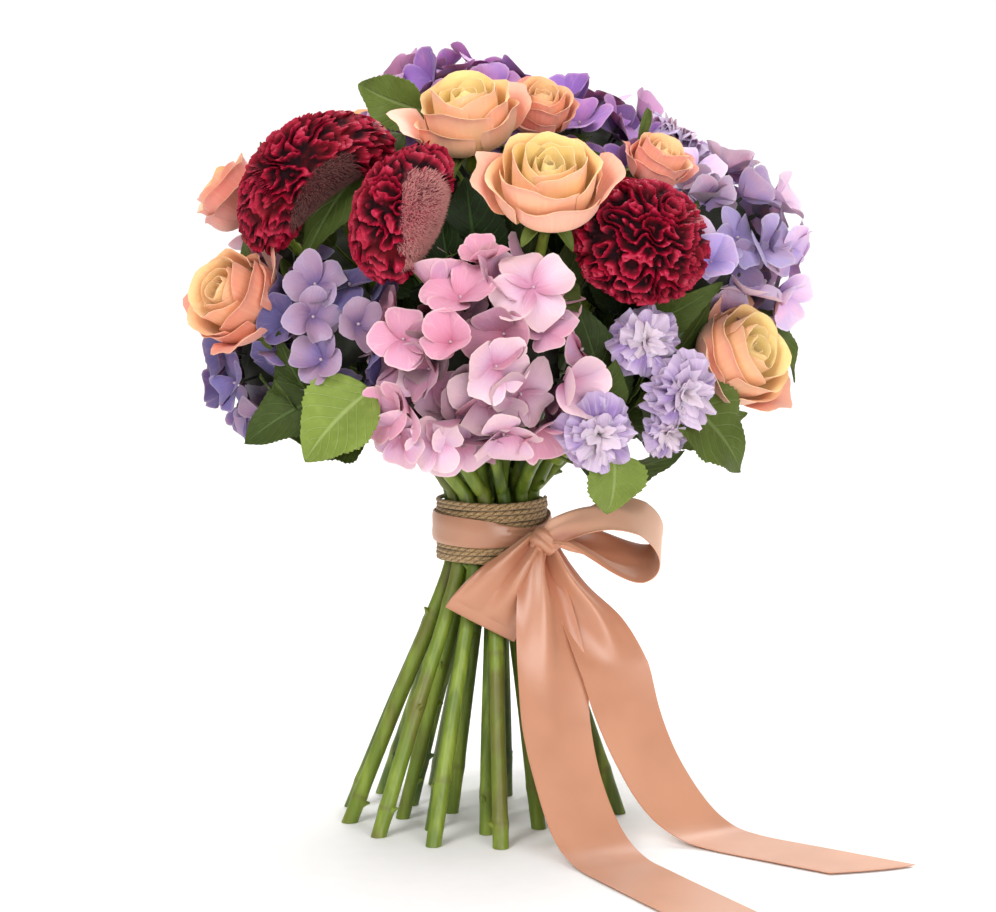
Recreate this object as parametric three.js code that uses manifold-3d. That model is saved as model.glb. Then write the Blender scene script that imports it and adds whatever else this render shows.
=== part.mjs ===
// A hand-tied bouquet standing on its cut stems: peach roses, crimson cockscombs, pink and lilac
// hydrangeas and frilled lilac carnations, bound with jute twine and a satin ribbon tied in a bow.
// Millimetres, +Z up. The origin is the cut end of the middle stem, on the surface it stands on,
// and the bouquet's front, with the pink hydrangea, looks along -Y.
import * as THREE from "three";
import { mergeVertices } from "three/addons/utils/BufferGeometryUtils.js";
import Module from "manifold-3d";

const wasm = await Module();
wasm.setup();
const V = (x, y, z) => new THREE.Vector3(x, y, z);

// Driving dimensions
const TIE_LOW = 130; // where the stems come together below the twine
const TIE_HIGH = 166; // and where they part again above it
const SHOULDER = 205; // height where the stems leave the bundle for their own blooms
const HEART = V(0, 0, 235); // the point that the leaves face away from
const MIDDLE_STEM = "hydrangea_top_right"; // the bloom whose stem stands on the origin
const FOOT_SHIFT = V(-5, 0, 0); // the feet round the middle stem stand a little to the left
const FOOT_SPREAD = 3.3; // how many times wider the bundle stands on the surface than at the tie
const SHOULDER_SPREAD = 1.75; // and how many times wider it is at the shoulder
const FOOT_TURN = 12; // degrees that the spiral turns at the feet, the tie and the shoulder
const TIE_TURN = 7;
const SHOULDER_TURN = 30;
const SPIRAL = 40; // degrees that each stem at the tie is turned from the way that it leans
const RINGS = {
  outer: { radius: 21, thick: 4.1 },
  middle: { radius: 12.6, thick: 3.75 },
  inner: { radius: 4.8, thick: 3.75 },
}; // of stems in the bundle at the tie, with each stem's own radius
const SEAT_GAP = 0.3; // clearance between pieces that lie against each other
const BLADE = 0.8; // thickness of a leaf or petal
const NECK = 9; // straight length of stem under each bloom
const RIBBON_WIDTH = 38;
const RIBBON_THICK = 0.8;

// Colours and finishes
const finish = (colour, roughness) =>
  new THREE.MeshStandardMaterial({ color: colour, roughness, metalness: 0 });
const PEACH = finish("#f2b184", 0.6);
const CORAL = finish("#ec8f74", 0.6);
const CRIMSON = finish("#8e0f2c", 0.75);
const PINK = finish("#dfa3b9", 0.6);
const LILAC = finish("#9c86c0", 0.6);
const PURPLE = finish("#9d6fb5", 0.6);
const LAVENDER = finish("#b9a9dc", 0.65);
const GREEN = finish("#4f7a2c", 0.6);
const JUTE = finish("#b39468", 0.9);
const SATIN = finish("#e0a184", 0.35);

// The same run of random numbers every time
let seed = 20;
function random() {
  seed = (seed * 1103515245 + 12345) % 2147483648;
  return seed / 2147483648;
}
const jitter = (amount) => amount * (2 * random() - 1);

// Solids and meshes
const radians = THREE.MathUtils.degToRad;
const polar = (radius, degrees, z) => {
  const a = radians(degrees);
  return V(radius * Math.cos(a), radius * Math.sin(a), z);
};

function solidFrom(points, triangles) {
  const vertProperties = new Float32Array(points.flatMap((p) => [p.x, p.y, p.z]));
  const mesh = new wasm.Mesh({
    numProp: 3,
    vertProperties,
    triVerts: new Uint32Array(triangles.flat()),
  });
  const solid = new wasm.Manifold(mesh);
  if (solid.volume() <= 0) throw new Error("a solid is empty or inside out");
  return solid;
}

function solidFromGeometry(geometry) {
  for (const extra of ["normal", "uv"]) geometry.deleteAttribute(extra);
  const merged = mergeVertices(geometry, 1e-4);
  return new wasm.Manifold(
    new wasm.Mesh({
      numProp: 3,
      vertProperties: merged.attributes.position.array,
      triVerts: new Uint32Array(merged.index.array),
    }),
  );
}

function largestBody(solid) {
  return solid.decompose().reduce((a, b) => (a.volume() > b.volume() ? a : b));
}

const bouquet = new THREE.Group();
function addPiece(name, solid, material) {
  const { vertProperties, triVerts } = largestBody(solid).getMesh();
  const geometry = new THREE.BufferGeometry();
  geometry.setAttribute("position", new THREE.BufferAttribute(vertProperties, 3));
  geometry.setIndex(new THREE.BufferAttribute(triVerts, 1));
  geometry.computeVertexNormals();
  const mesh = new THREE.Mesh(geometry, material);
  mesh.name = name;
  bouquet.add(mesh);
}

// A closed skin over rings of points, listed from the bottom up, each turning counterclockwise
// seen from above, with a point that closes each end.
function closedRings(rings, bottom, top) {
  const n = rings[0].length;
  const points = [...rings.flat(), bottom, top];
  const low = rings.length * n;
  const triangles = [];
  for (let j = 0; j < n; j++) {
    const k = (j + 1) % n;
    triangles.push([low, k, j]);
    for (let i = 0; i + 1 < rings.length; i++) {
      const [a, b, c, d] = [i * n + j, i * n + k, (i + 1) * n + j, (i + 1) * n + k];
      triangles.push([a, b, d], [a, d, c]);
    }
    triangles.push([low - n + j, low - n + k, low + 1]);
  }
  return solidFrom(points, triangles);
}

// A thin blade: stations from root to tip, each with its middle point, the direction of its
// right side, half its width, how far its edges rise, and the way that its upper face looks. A
// plain blade has no rib along its middle.
function blade(stations, thickness, plain = false) {
  const places = plain ? [-1, 1] : [-1, 0, 1];
  const n = places.length;
  const across = (s, t) =>
    s.middle
      .clone()
      .addScaledVector(s.side, t * s.half)
      .addScaledVector(s.up, Math.abs(t) * s.lift);
  const upper = stations.flatMap((s) => places.map((t) => across(s, t)));
  const lower = stations.flatMap((s) =>
    places.map((t) => across(s, t).addScaledVector(s.up, -thickness)),
  );
  const last = n * (stations.length - 1);
  const under = upper.length;
  const triangles = [];
  const quad = (a, b, c, d) => triangles.push([a, b, c], [a, c, d]);
  for (let a = 0; a < last; a += n) {
    const b = a + n;
    for (let k = 0; k + 1 < n; k++) {
      quad(a + k, a + k + 1, b + k + 1, b + k);
      triangles.push([under + a + k, under + b + k + 1, under + a + k + 1]);
      triangles.push([under + a + k, under + b + k, under + b + k + 1]);
    }
    quad(a, b, under + b, under + a);
    quad(a + n - 1, under + a + n - 1, under + b + n - 1, b + n - 1);
  }
  for (let k = 0; k + 1 < n; k++) {
    quad(k, under + k, under + k + 1, k + 1);
    quad(last + k, last + k + 1, under + last + k + 1, under + last + k);
  }
  return solidFrom([...upper, ...lower], triangles);
}

// Turns points from a bloom's own frame, with +Z out of its face, to its place in the bouquet.
function placer(at, facing) {
  const turn = new THREE.Quaternion().setFromUnitVectors(V(0, 0, 1), facing);
  return (p) => p.clone().applyQuaternion(turn).add(at);
}

// Roses: cups of petals inside each other, cut from one skin that goes up each wall, over its
// rim and down into the next crevice. Every petal's edge steps out over the next one's.
const ROSE_SIDES = 12;
const ROSE_BASE = 0.62; // depth of a rose's foot and height of its heart, as shares of its radius
const ROSE_HEART = 0.46;
const LAYER_TURN = 0.37; // share of a petal that each layer is turned by
const PETAL_DROOP = 0.12; // how much lower each outer petal hangs than the one before it
function roseBloom({ at, facing, radius, outer }) {
  const place = placer(at, facing);
  // radius, height, petals in the layer, step at each petal's edge, rise of each petal's middle
  const skin = [
    [0.26, -0.62, 1, 0, 0],
    [0.86, -0.12, 3, 0.07, 0],
    [1.02, 0.34, 3, 0.1, 0.12],
    [0.74, 0.08, 3, 0.03, 0],
    [0.74, 0.44, 4, 0.06, 0.09],
    [0.5, 0.2, 4, 0.02, 0],
    [0.46, 0.52, 3, 0.05, 0.05],
    [0.27, 0.33, 3, 0.02, 0],
    [0.2, 0.52, 2, 0.05, 0.02],
  ];
  const rings = skin.map(([r, h, petals, step, rise]) =>
    Array.from({ length: ROSE_SIDES }, (_, j) => {
      const part = ((j / ROSE_SIDES + LAYER_TURN) * petals) % 1;
      const reach = radius * (r + step * (part - 0.5));
      const height = radius * (h + rise * Math.sin(Math.PI * part));
      return place(polar(reach, (360 * j) / ROSE_SIDES, height));
    }),
  );
  const [foot, heart] = [-ROSE_BASE, ROSE_HEART].map((h) => place(V(0, 0, h * radius)));
  const petals = outer.map((degrees, i) => {
    const side = polar(1, degrees - 90, 0);
    const droop = PETAL_DROOP * i;
    // how far out, height, half width, how far the edges rise
    const course = [
      [0.36, -0.42, 0.22, 0.04],
      [1.02, 0.02 - droop, 0.56, 0.12],
      [1.26, 0.3 - 2 * droop, 0.3, -0.04],
    ];
    const way = course.map(([r, h]) => polar(r * radius, degrees, h * radius));
    const turned = (v) => place(v).sub(at);
    return blade(
      course.map(([, , half, lift], k) => {
        const [before, after] = [way[Math.max(k - 1, 0)], way[Math.min(k + 1, way.length - 1)]];
        const along = after.clone().sub(before).normalize();
        return {
          middle: place(way[k]),
          side: turned(side),
          up: turned(side.clone().cross(along)),
          half: half * radius,
          lift: lift * radius,
        };
      }),
      BLADE,
      true,
    );
  });
  return wasm.Manifold.union([closedRings(rings, foot, heart), ...petals]);
}

// Carnations: ruffs of frilled petals, with pinked edges, in one skin like the rose's.
const CARNATION_SIDES = 12;
const CARNATION_BASE = 0.62;
const CARNATION_HEART = 0.3;
function carnationBloom({ at, facing, radius }) {
  const place = placer(at, facing);
  // radius, height, how far the frill moves the edge out and up
  const skin = [
    [0.2, -0.62, 0, 0],
    [0.42, -0.4, 0, 0],
    [0.9, -0.12, 0.05, 0.05],
    [0.97, 0, 0.07, 0.07],
    [0.72, 0.02, 0.04, 0.04],
    [0.78, 0.24, 0.08, 0.07],
    [0.52, 0.14, 0.03, 0.03],
    [0.55, 0.4, 0.08, 0.07],
    [0.3, 0.24, 0.02, 0.02],
    [0.28, 0.5, 0.06, 0.06],
  ];
  const rings = skin.map(([r, h, outwards, upwards], i) =>
    Array.from({ length: CARNATION_SIDES }, (_, j) => {
      const frill = (j + i) % 2 ? 1 : -1;
      const reach = radius * (r + outwards * frill);
      const height = radius * (h + upwards * frill);
      return place(polar(reach, (360 * j) / CARNATION_SIDES, height));
    }),
  );
  const ends = [-CARNATION_BASE, CARNATION_HEART].map((h) => place(V(0, 0, h * radius)));
  return closedRings(rings, ...ends);
}

// Cockscombs: a crest bent over its stalk, its skin folded like a brain's. The crest is long in
// its own X, and arch is the radius that it is bent over, with flat crests at a large arch.
const CREST_SIDES = 18;
const CREST_RINGS = 9;
const CREST_SMOOTH = 2; // rings without folds round the stalk
const CREST_FOLD = 0.15; // height of the folds as a share of the crest, and how much it varies
const FOLD_CHANGE = 0.2;
function crestBloom({ at, facing, along, long, wide, high, arch }) {
  const x = along.clone().addScaledVector(facing, -along.dot(facing)).normalize();
  const y = facing.clone().cross(x);
  const place = (p) =>
    at
      .clone()
      .addScaledVector(x, p.x)
      .addScaledVector(y, p.y)
      .addScaledVector(facing, p.z);
  const bend = (p) => {
    const turn = p.x / arch;
    return V((arch + p.z) * Math.sin(turn), p.y, (arch + p.z) * Math.cos(turn) - arch);
  };
  const rings = Array.from({ length: CREST_RINGS }, (_, i) => {
    const up = ((i + 0.6) / (CREST_RINGS + 0.2)) * Math.PI;
    const folded = i >= CREST_SMOOTH && i < CREST_RINGS - 1;
    return Array.from({ length: CREST_SIDES }, (_, j) => {
      const round = (2 * Math.PI * j) / CREST_SIDES;
      const ridge = (j + Math.floor(i / 2)) % 2 ? 1 : -1;
      const change = 1 - FOLD_CHANGE + FOLD_CHANGE * Math.sin(5 * i + 2 * j);
      const swell = folded ? 1 + CREST_FOLD * ridge * change : 1;
      const reach = swell * Math.sin(up);
      const p = V(long * reach * Math.cos(round), wide * reach * Math.sin(round), 0);
      return place(bend(p.setZ(-high * swell * Math.cos(up))));
    });
  });
  return closedRings(rings, place(bend(V(0, 0, -high))), place(bend(V(0, 0, high))));
}

// Hydrangeas: a dome of four-petalled florets that stand on a smaller core.
const GOLDEN_ANGLE = Math.PI * (3 - Math.sqrt(5));
const FLORET_DISH = 0.14; // hollow of a floret's face and depth of its back, as shares of its radius
const FLORET_DEPTH = 0.34;
const CORE_SHARE = 0.7; // size of the core, and its depth, as shares of the dome's radius
const CORE_DEPTH = 0.66;
const CORE_FOOT = 0.85; // how far down the core's lowest edge lies
const PETAL_CURL = 0.1;
const RIM = 12; // points round a floret's rim, and round the neck under it
const NECK_SIDES = 3;
function floret(centre, normal, spin, reach, root) {
  const place = placer(centre, normal);
  const ringAt = (degrees, r, h) => place(polar(reach * r, spin + degrees, reach * h));
  const curls = [0, 90, 180, 270].map((petal) => [petal, jitter(PETAL_CURL)]);
  const rim = curls.flatMap(([petal, rise]) => [
    ringAt(petal - 45, 0.62, 0),
    ringAt(petal - 22, 1, 0.13 + rise),
    ringAt(petal + 20, 1.02, 0.11 - rise),
  ]);
  const neck = [0, 120, 240].map((degrees) => ringAt(degrees, 0.17, -FLORET_DEPTH));
  const [top, low] = [RIM + NECK_SIDES, RIM + NECK_SIDES + 1];
  const neckUnder = (j) => RIM + (Math.floor((j + 2) / 4) % NECK_SIDES);
  const triangles = neck.map((_, j) => [RIM + ((j + 1) % NECK_SIDES), RIM + j, low]);
  for (let j = 0; j < RIM; j++) {
    const k = (j + 1) % RIM;
    triangles.push([j, k, top], [k, j, neckUnder(j)]);
    if (neckUnder(k) !== neckUnder(j)) triangles.push([k, neckUnder(j), neckUnder(k)]);
  }
  const points = [...rim, ...neck, place(V(0, 0, -FLORET_DISH * reach)), root];
  return solidFrom(points, triangles);
}

function hydrangeaCore({ at, facing, radius, flatness }) {
  const core = new THREE.IcosahedronGeometry(CORE_SHARE * radius, 0);
  core.scale(1, 1, CORE_DEPTH * flatness);
  core.applyQuaternion(new THREE.Quaternion().setFromUnitVectors(V(0, 0, 1), facing));
  return solidFromGeometry(core.translate(at.x, at.y, at.z));
}

const FLORET_SIZES = [1.04, 0.85, 0.66, 0.5]; // the first size that has room is used
const DOME_SHARE = 1.2; // how far the florets reach round the sides, 1 being half a ball
const DOME_STEP = 0.07; // how much deeper every other floret stands, as a share of the radius
const FLORET_LEAN = 0.16;
const ROOT_DEPTH = 0.7; // where a floret's root lies in the core, as a share of the core's size
function hydrangeaFlorets({ at, facing, radius, flatness, florets, petal }) {
  const place = placer(at, facing);
  return Array.from({ length: florets }, (_, i) => {
    const fall = (i + 0.5) / florets;
    const tilt = Math.acos(1 - DOME_SHARE * fall);
    const way = V(0, 0, 1).setFromSphericalCoords(1, tilt, i * GOLDEN_ANGLE);
    way.set(way.x, way.z, way.y);
    const centre = way.clone().multiplyScalar(radius * (i % 2 ? 1 : 1 - DOME_STEP));
    centre.z *= flatness;
    const lean = V(jitter(FLORET_LEAN), jitter(FLORET_LEAN), jitter(FLORET_LEAN));
    const normal = V(way.x, way.y, way.z / flatness).normalize().add(lean).normalize();
    const inside = way.multiplyScalar(ROOT_DEPTH * CORE_SHARE * radius);
    inside.z *= CORE_DEPTH * flatness;
    const turn = 90 * random();
    return FLORET_SIZES.map((size) =>
      floret(place(centre), place(normal).sub(at), turn, size * petal, place(inside)),
    );
  });
}

// Leaves: arched blades with a folded rib, or plain ones, on a short stalk from the stem.
const LEAF_ARCH = 0.1; // how far a leaf bows, as a share of its length
const LEAF_FOLD = 0.24; // how far its edges rise from the rib, as a share of half its width
const STALK = 1.1; // half the width of its stalk
function leaf(root, tip, width, up, plain) {
  const length = root.distanceTo(tip);
  const along = tip.clone().sub(root).normalize();
  const side = along.clone().cross(up).normalize();
  const face = side.clone().cross(along).normalize();
  // place along the leaf, width there as a share of the widest
  const outline = [
    [0, 0.06],
    [0.26, 0.08],
    [0.4, 0.86],
    [0.58, 1.04],
    [0.77, 0.64],
    [1, 0.03],
  ];
  return blade(
    outline.map(([t, share]) => {
      const half = Math.max(STALK, (width / 2) * share);
      return {
        middle: root
          .clone()
          .addScaledVector(along, t * length)
          .addScaledVector(face, 4 * LEAF_ARCH * length * t * (1 - t)),
        side,
        up: face,
        half,
        lift: plain ? 0 : LEAF_FOLD * half,
      };
    }),
    BLADE,
    plain,
  );
}

// The collar of five pointed sepals under a rose
function sepals(at, facing, radius) {
  const place = placer(at, facing);
  const points = [0, 72, 144, 216, 288].flatMap((degrees) => [
    polar(radius, degrees + 20, -0.34 * radius),
    polar(0.28 * radius, degrees + 56, -0.1 * radius),
  ]);
  return closedRings([points.map(place)], place(V(0, 0, -0.5 * radius)), at);
}

// Stems: cut level at the foot, straight to the tie, through it, and on to the bloom. Above the
// tie each pulls straight, and they push each other and the blooms clear, a little in each round.
const STEM_SIDES = 5;
const STEM_STEPS = 30; // points on each course above the tie
const STEM_TAPER = 0.3; // share of its radius that a stem loses on the way up
const RING_STEPS = [1, 8, 15, 22, 29]; // the points where the stem's solid has a ring
const BRANCH_STEP = 8; // and the one where a second head's stem leaves the first's
const STEM_ROUNDS = 240;
const STEM_CLEAR = 2.4; // room that the stems make between each other and round the blooms
const STEM_PUSH = 0.25; // share of what is missing that each round makes up, between two stems
const BLOOM_PUSH = 0.5; // and between a stem and a bloom
const STEM_PULL = 0.35; // how strongly a stem pulls straight
const STEM_MOVE = 2; // furthest that a point moves in a round

function stemCourse(flower) {
  const { radius, thick } = RINGS[flower.ring];
  const turn = flower.slot;
  const end = flower.at.clone().addScaledVector(flower.facing, -flower.base - SEAT_GAP);
  const neck = end.clone().addScaledVector(flower.facing, -NECK);
  const tie = polar(radius, turn - TIE_TURN, TIE_HIGH);
  const low = polar(radius, turn + TIE_TURN, TIE_LOW);
  const spread = polar(radius * FOOT_SPREAD, turn + FOOT_TURN, 0).add(FOOT_SHIFT);
  const foot = flower.middle ? V(0, 0, 0) : spread;
  const shoulder = polar(radius * SHOULDER_SPREAD, turn - SHOULDER_TURN, SHOULDER);
  const curve = new THREE.QuadraticBezierCurve3(tie, shoulder, neck);
  const points = Array.from({ length: STEM_STEPS - 1 }, (_, i) =>
    curve.getPoint(i / (STEM_STEPS - 2)),
  );
  return { flower, thick, foot, low, points: [...points, end] };
}

function settleStems(courses) {
  for (let round = 0; round < STEM_ROUNDS; round++) {
    const moves = courses.map((c) => c.points.map(() => V(0, 0, 0)));
    courses.forEach((one, i) => {
      courses.slice(i + 1).forEach((two, gap) => {
        if (one.flower.stem === two.flower.stem) return;
        const apart = one.thick + two.thick + STEM_CLEAR;
        one.points.forEach((p, a) => {
          two.points.forEach((q, b) => {
            const near = p.distanceToSquared(q);
            if (near > apart * apart) return;
            const away = p.clone().sub(q);
            away.setLength(STEM_PUSH * (apart - Math.sqrt(near)));
            moves[i][a].add(away);
            moves[i + 1 + gap][b].sub(away);
          });
        });
      });
      for (const { flower: bloom } of courses) {
        if (bloom === one.flower) continue;
        const apart = bloom.clear + one.thick + STEM_CLEAR;
        one.points.forEach((p, a) => {
          const near = p.distanceTo(bloom.at);
          if (near > apart) return;
          moves[i][a].add(p.clone().sub(bloom.at).setLength(BLOOM_PUSH * (apart - near)));
        });
      }
      for (let a = 1; a + 2 < one.points.length; a++) {
        const between = one.points[a - 1].clone().add(one.points[a + 1]).multiplyScalar(0.5);
        moves[i][a].addScaledVector(between.sub(one.points[a]), STEM_PULL);
      }
    });
    courses.forEach((c, i) => {
      for (let a = 2; a + 2 < c.points.length; a++) {
        c.points[a].add(moves[i][a].clampLength(0, STEM_MOVE));
      }
    });
  }
}

function stemSolid({ thick, foot, low, points, flower }, branch) {
  const circle = (centre, radius, x, y) =>
    Array.from({ length: STEM_SIDES }, (_, j) => {
      const a = (2 * Math.PI * j) / STEM_SIDES;
      return centre
        .clone()
        .addScaledVector(x, radius * Math.cos(a))
        .addScaledVector(y, radius * Math.sin(a));
    });
  const [east, north] = [V(1, 0, 0), V(0, 1, 0)];
  const whole = [foot, low, points[0]].map((p) => circle(p, thick, east, north));
  const rings = branch ? [] : whole;
  let x = east;
  for (const i of RING_STEPS.filter((step) => !branch || step >= BRANCH_STEP)) {
    const last = i === STEM_STEPS - 1;
    const way = points[last ? i : i + 1].clone().sub(points[i - 1]).normalize();
    x = x.clone().addScaledVector(way, -way.dot(x)).normalize();
    const taper = last ? flower.neck : thick * (1 - (STEM_TAPER * i) / STEM_STEPS);
    rings.push(circle(points[i], taper, x, way.clone().cross(x)));
  }
  return closedRings(rings, branch ? points[BRANCH_STEP] : foot, points[STEM_STEPS - 1]);
}

// The tie: turns of jute twine round the stems, under a band of ribbon that is gathered round
// them and tied in a bow, whose two ends trail over the surface.
const ROUND_SIDES = 16;
const TWINE = { inner: 26, outer: 28.2, groove: 27.3, turn: 4.2, low: 131.5, high: 164.5 };
const BAND = { inner: 28.5, middle: 29.5, fold: 30.2, low: 141, high: 156, edge: 4 };
const KNOT = { wide: 8.6, deep: 7, high: 9, radius: 36, azimuth: -50, z: 147.5 };
const roundRing = (profile) => {
  const points = [...profile, profile[0]].map(([r, z]) => new THREE.Vector2(r, z));
  return solidFromGeometry(new THREE.LatheGeometry(points, ROUND_SIDES).rotateX(Math.PI / 2));
};

function twine() {
  const { inner, outer, groove, turn, low, high } = TWINE;
  const turnsFrom = (start) =>
    [0, 1].flatMap((i) => [
      [groove, start + i * turn],
      [outer, start + (i + 0.5) * turn],
    ]);
  const below = turnsFrom(low);
  const above = turnsFrom(high - 2 * turn);
  return roundRing([[inner, low], ...below, ...above, [groove, high], [inner, high]]);
}

function ribbonRun(course, sideAt) {
  const points = course.map(([x, y, z]) => V(x, y, z));
  const rings = points.map((middle, i) => {
    const before = points[Math.max(i - 1, 0)];
    const after = points[Math.min(i + 1, points.length - 1)];
    const side = sideAt(i / (points.length - 1)).normalize();
    const up = side.clone().cross(after.clone().sub(before)).normalize();
    side.multiplyScalar(0.5 * RIBBON_WIDTH * course[i][3]);
    const under = middle.clone().addScaledVector(up, -RIBBON_THICK);
    return [
      middle.clone().sub(side),
      middle.clone().add(side),
      under.clone().add(side),
      under.clone().sub(side),
    ];
  });
  const centre = ([a, , c]) => a.clone().add(c).multiplyScalar(0.5);
  return closedRings(rings, centre(rings[0]), centre(rings.at(-1)));
}

// Each row is a point on the middle of the ribbon, and its width there as a share of the whole.
const FRONT_TAIL = [
  [23, -33, 146, 0.26],
  [24, -39, 132, 0.53],
  [27, -47, 112, 0.79],
  [30, -55, 86, 0.97],
  [32, -65, 58, 1],
  [38, -76, 32, 1],
  [46, -87, 12, 1],
  [56, -101, 2, 1],
  [69, -128, 1.1, 1],
  [105, -200, 1.1, 1],
];
const RIGHT_TAIL = [
  [27, -31, 146, 0.26],
  [36, -35, 126, 0.58],
  [50, -40, 108, 0.84],
  [60, -44, 86, 1],
  [67, -47, 62, 1],
  [76, -49, 40, 1],
  [88, -51, 20, 1],
  [101, -53, 7, 1],
  [117, -61, 1.3, 1],
  [148, -88, 1.1, 1],
  [181, -116, 1.1, 1.2],
];
const RIGHT_LOOP = [
  [25, -34, 151, 0.26],
  [36, -39, 156, 0.53],
  [48, -43, 159.5, 0.79],
  [62, -44, 160, 0.95],
  [75, -45, 155, 1],
  [83, -45, 145, 1],
  [82, -45, 134, 1],
  [74, -45, 127.5, 1],
  [60, -43, 130, 0.84],
  [45, -40, 137, 0.58],
  [28, -35, 145, 0.26],
];
const LEFT_LOOP = [
  [23, -35, 148, 0.26],
  [9, -43, 128, 0.74],
  [-3, -42, 110, 1],
  [-6, -40, 105.5, 1],
  [-3, -38, 110, 1],
  [9, -38.5, 128, 0.74],
  [23, -33, 145, 0.26],
];
function ribbon() {
  const { inner, middle, fold, low, high, edge } = BAND;
  const band = roundRing([
    [inner, low],
    [middle, low + 0.5],
    [fold, low + edge],
    [middle, 0.5 * (low + high)],
    [fold, high - edge],
    [inner, high],
  ]);
  const knotAt = polar(KNOT.radius, KNOT.azimuth, KNOT.z);
  const knot = new THREE.IcosahedronGeometry(1, 0).scale(KNOT.wide, KNOT.deep, KNOT.high);
  knot.rotateZ(radians(KNOT.azimuth)).translate(...knotAt);
  return wasm.Manifold.union([
    band,
    solidFromGeometry(knot),
    ribbonRun(FRONT_TAIL, (t) => polar(1, 192 + 14 * t, 0)),
    ribbonRun(RIGHT_TAIL, (t) => polar(1, 190 + (t === 1 ? 24 : 40 * t), 0)),
    ribbonRun(RIGHT_LOOP, () => V(-0.12, -0.88, -0.42)),
    ribbonRun(LEFT_LOOP, () => V(-0.88, 0, 0.47)),
  ]);
}

// The flowers. Each way that a bloom faces is an azimuth and an elevation in degrees, and azimuth
// -90 looks out at the front. The lean is the azimuth that the stem leaves the bundle towards.
const look = ([azimuth, elevation]) =>
  polar(Math.cos(radians(elevation)), azimuth, Math.sin(radians(elevation)));

// name, centre, facing, radius, ring in the bundle, lean, colour, outer petals by azimuth
const ROSES = [
  ["rose_front", [26, -113, 319], [-88, 40], 26, "middle", -76, PEACH, [20, 145, 265]],
  ["rose_top", [-11, -62, 352], [-105, 66], 26, "inner", -104, PEACH, [70, 190, 320]],
  ["spray_rose_top", [24, -34, 357], [-80, 60], 17, "middle", -56, CORAL, [100, 230]],
  ["spray_rose_right", [79, -62, 331], [-45, 50], 16, "middle", -37, CORAL, [40, 200]],
  ["rose_left", [-122, -64, 262], [-140, 5], 25, "outer", -154, PEACH, [10, 130, 250]],
  ["rose_right", [118, -61, 236], [-40, 12], 23, "outer", -24, PEACH, [0, 120, 240]],
  ["rose_upper_left", [-128, -12, 312], [-172, 25], 20, "middle", -171, CORAL, [90, 270]],
  ["rose_back_left", [-60, 86, 334], [125, 45], 25, "middle", 118, PEACH, [30, 150, 270]],
  ["rose_back_right", [104, 54, 310], [28, 35], 25, "outer", 25, CORAL, [60, 180, 300]],
];
// name, centre, facing, the way the crest runs, its half length, half width and half height, the
// radius that it bends over, ring, lean
const CRESTS = [
  ["cockscomb_left", [-91, -74, 329], [-143, 40], [0.8, -0.1, 0.6], 47, 22, 19, 44, "middle", -140],
  ["cockscomb_middle", [-43, -101, 310], [-155, 22], [0.4, 0, 0.9], 33, 20, 21, 44, "middle", -112],
  ["cockscomb_right", [70, -91, 296], [-62, 16], [0.9, 0.4, -0.1], 34, 29, 22, 120, "middle", -57],
  ["cockscomb_back", [18, 92, 330], [78, 42], [1, 0, 0], 36, 24, 22, 70, "outer", 78],
];
// name, centre, facing, dome radius, flatness, florets and their radius, ring, lean, colour
const HYDRANGEAS = [
  ["hydrangea_pink", [-5, -86, 239], [-93, 3], 47, 0.85, 15, 20, "outer", -93, PINK],
  ["hydrangea_front_left", [-75, -66, 256], [-125, 0], 31, 0.85, 9, 16.5, "outer", -133, LILAC],
  ["hydrangea_left", [-103, -14, 233], [-165, -5], 36, 0.9, 10, 18, "outer", -172, LILAC],
  ["hydrangea_top", [-16, 24, 345], [100, 78], 41, 0.9, 10, 18, "inner", 110, PURPLE],
  ["hydrangea_top_right", [48, 10, 328], [-5, 62], 38, 0.9, 9, 18, "inner", -5, PURPLE],
  ["hydrangea_right", [108, -28, 288], [-15, 18], 41, 0.9, 11, 18, "outer", -15, LILAC],
  ["hydrangea_back_right", [62, 92, 254], [55, 5], 46, 0.85, 11, 19, "outer", 55, LILAC],
  ["hydrangea_back_left", [-88, 66, 266], [141, 12], 46, 0.85, 11, 19, "outer", 141, PINK],
];
// name, the stem that it stands on, centre, facing, radius, ring, lean
const CARNATIONS = [
  ["carnation_right", "carnation_right", [73, -99, 251], [-75, 18], 17.5, "outer", -48],
  ["carnation_right_2", "carnation_right", [92, -106, 226], [-58, -6], 19.5, "outer", -48],
  ["carnation_low", "carnation_low", [51, -116, 207], [-75, -8], 19, "outer", -63],
  ["carnation_high", "carnation_high", [94, 6, 346], [0, 55], 18, "middle", 0],
  ["carnation_back", "carnation_back", [-18, 124, 280], [97, 10], 20, "outer", 98],
];
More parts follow.
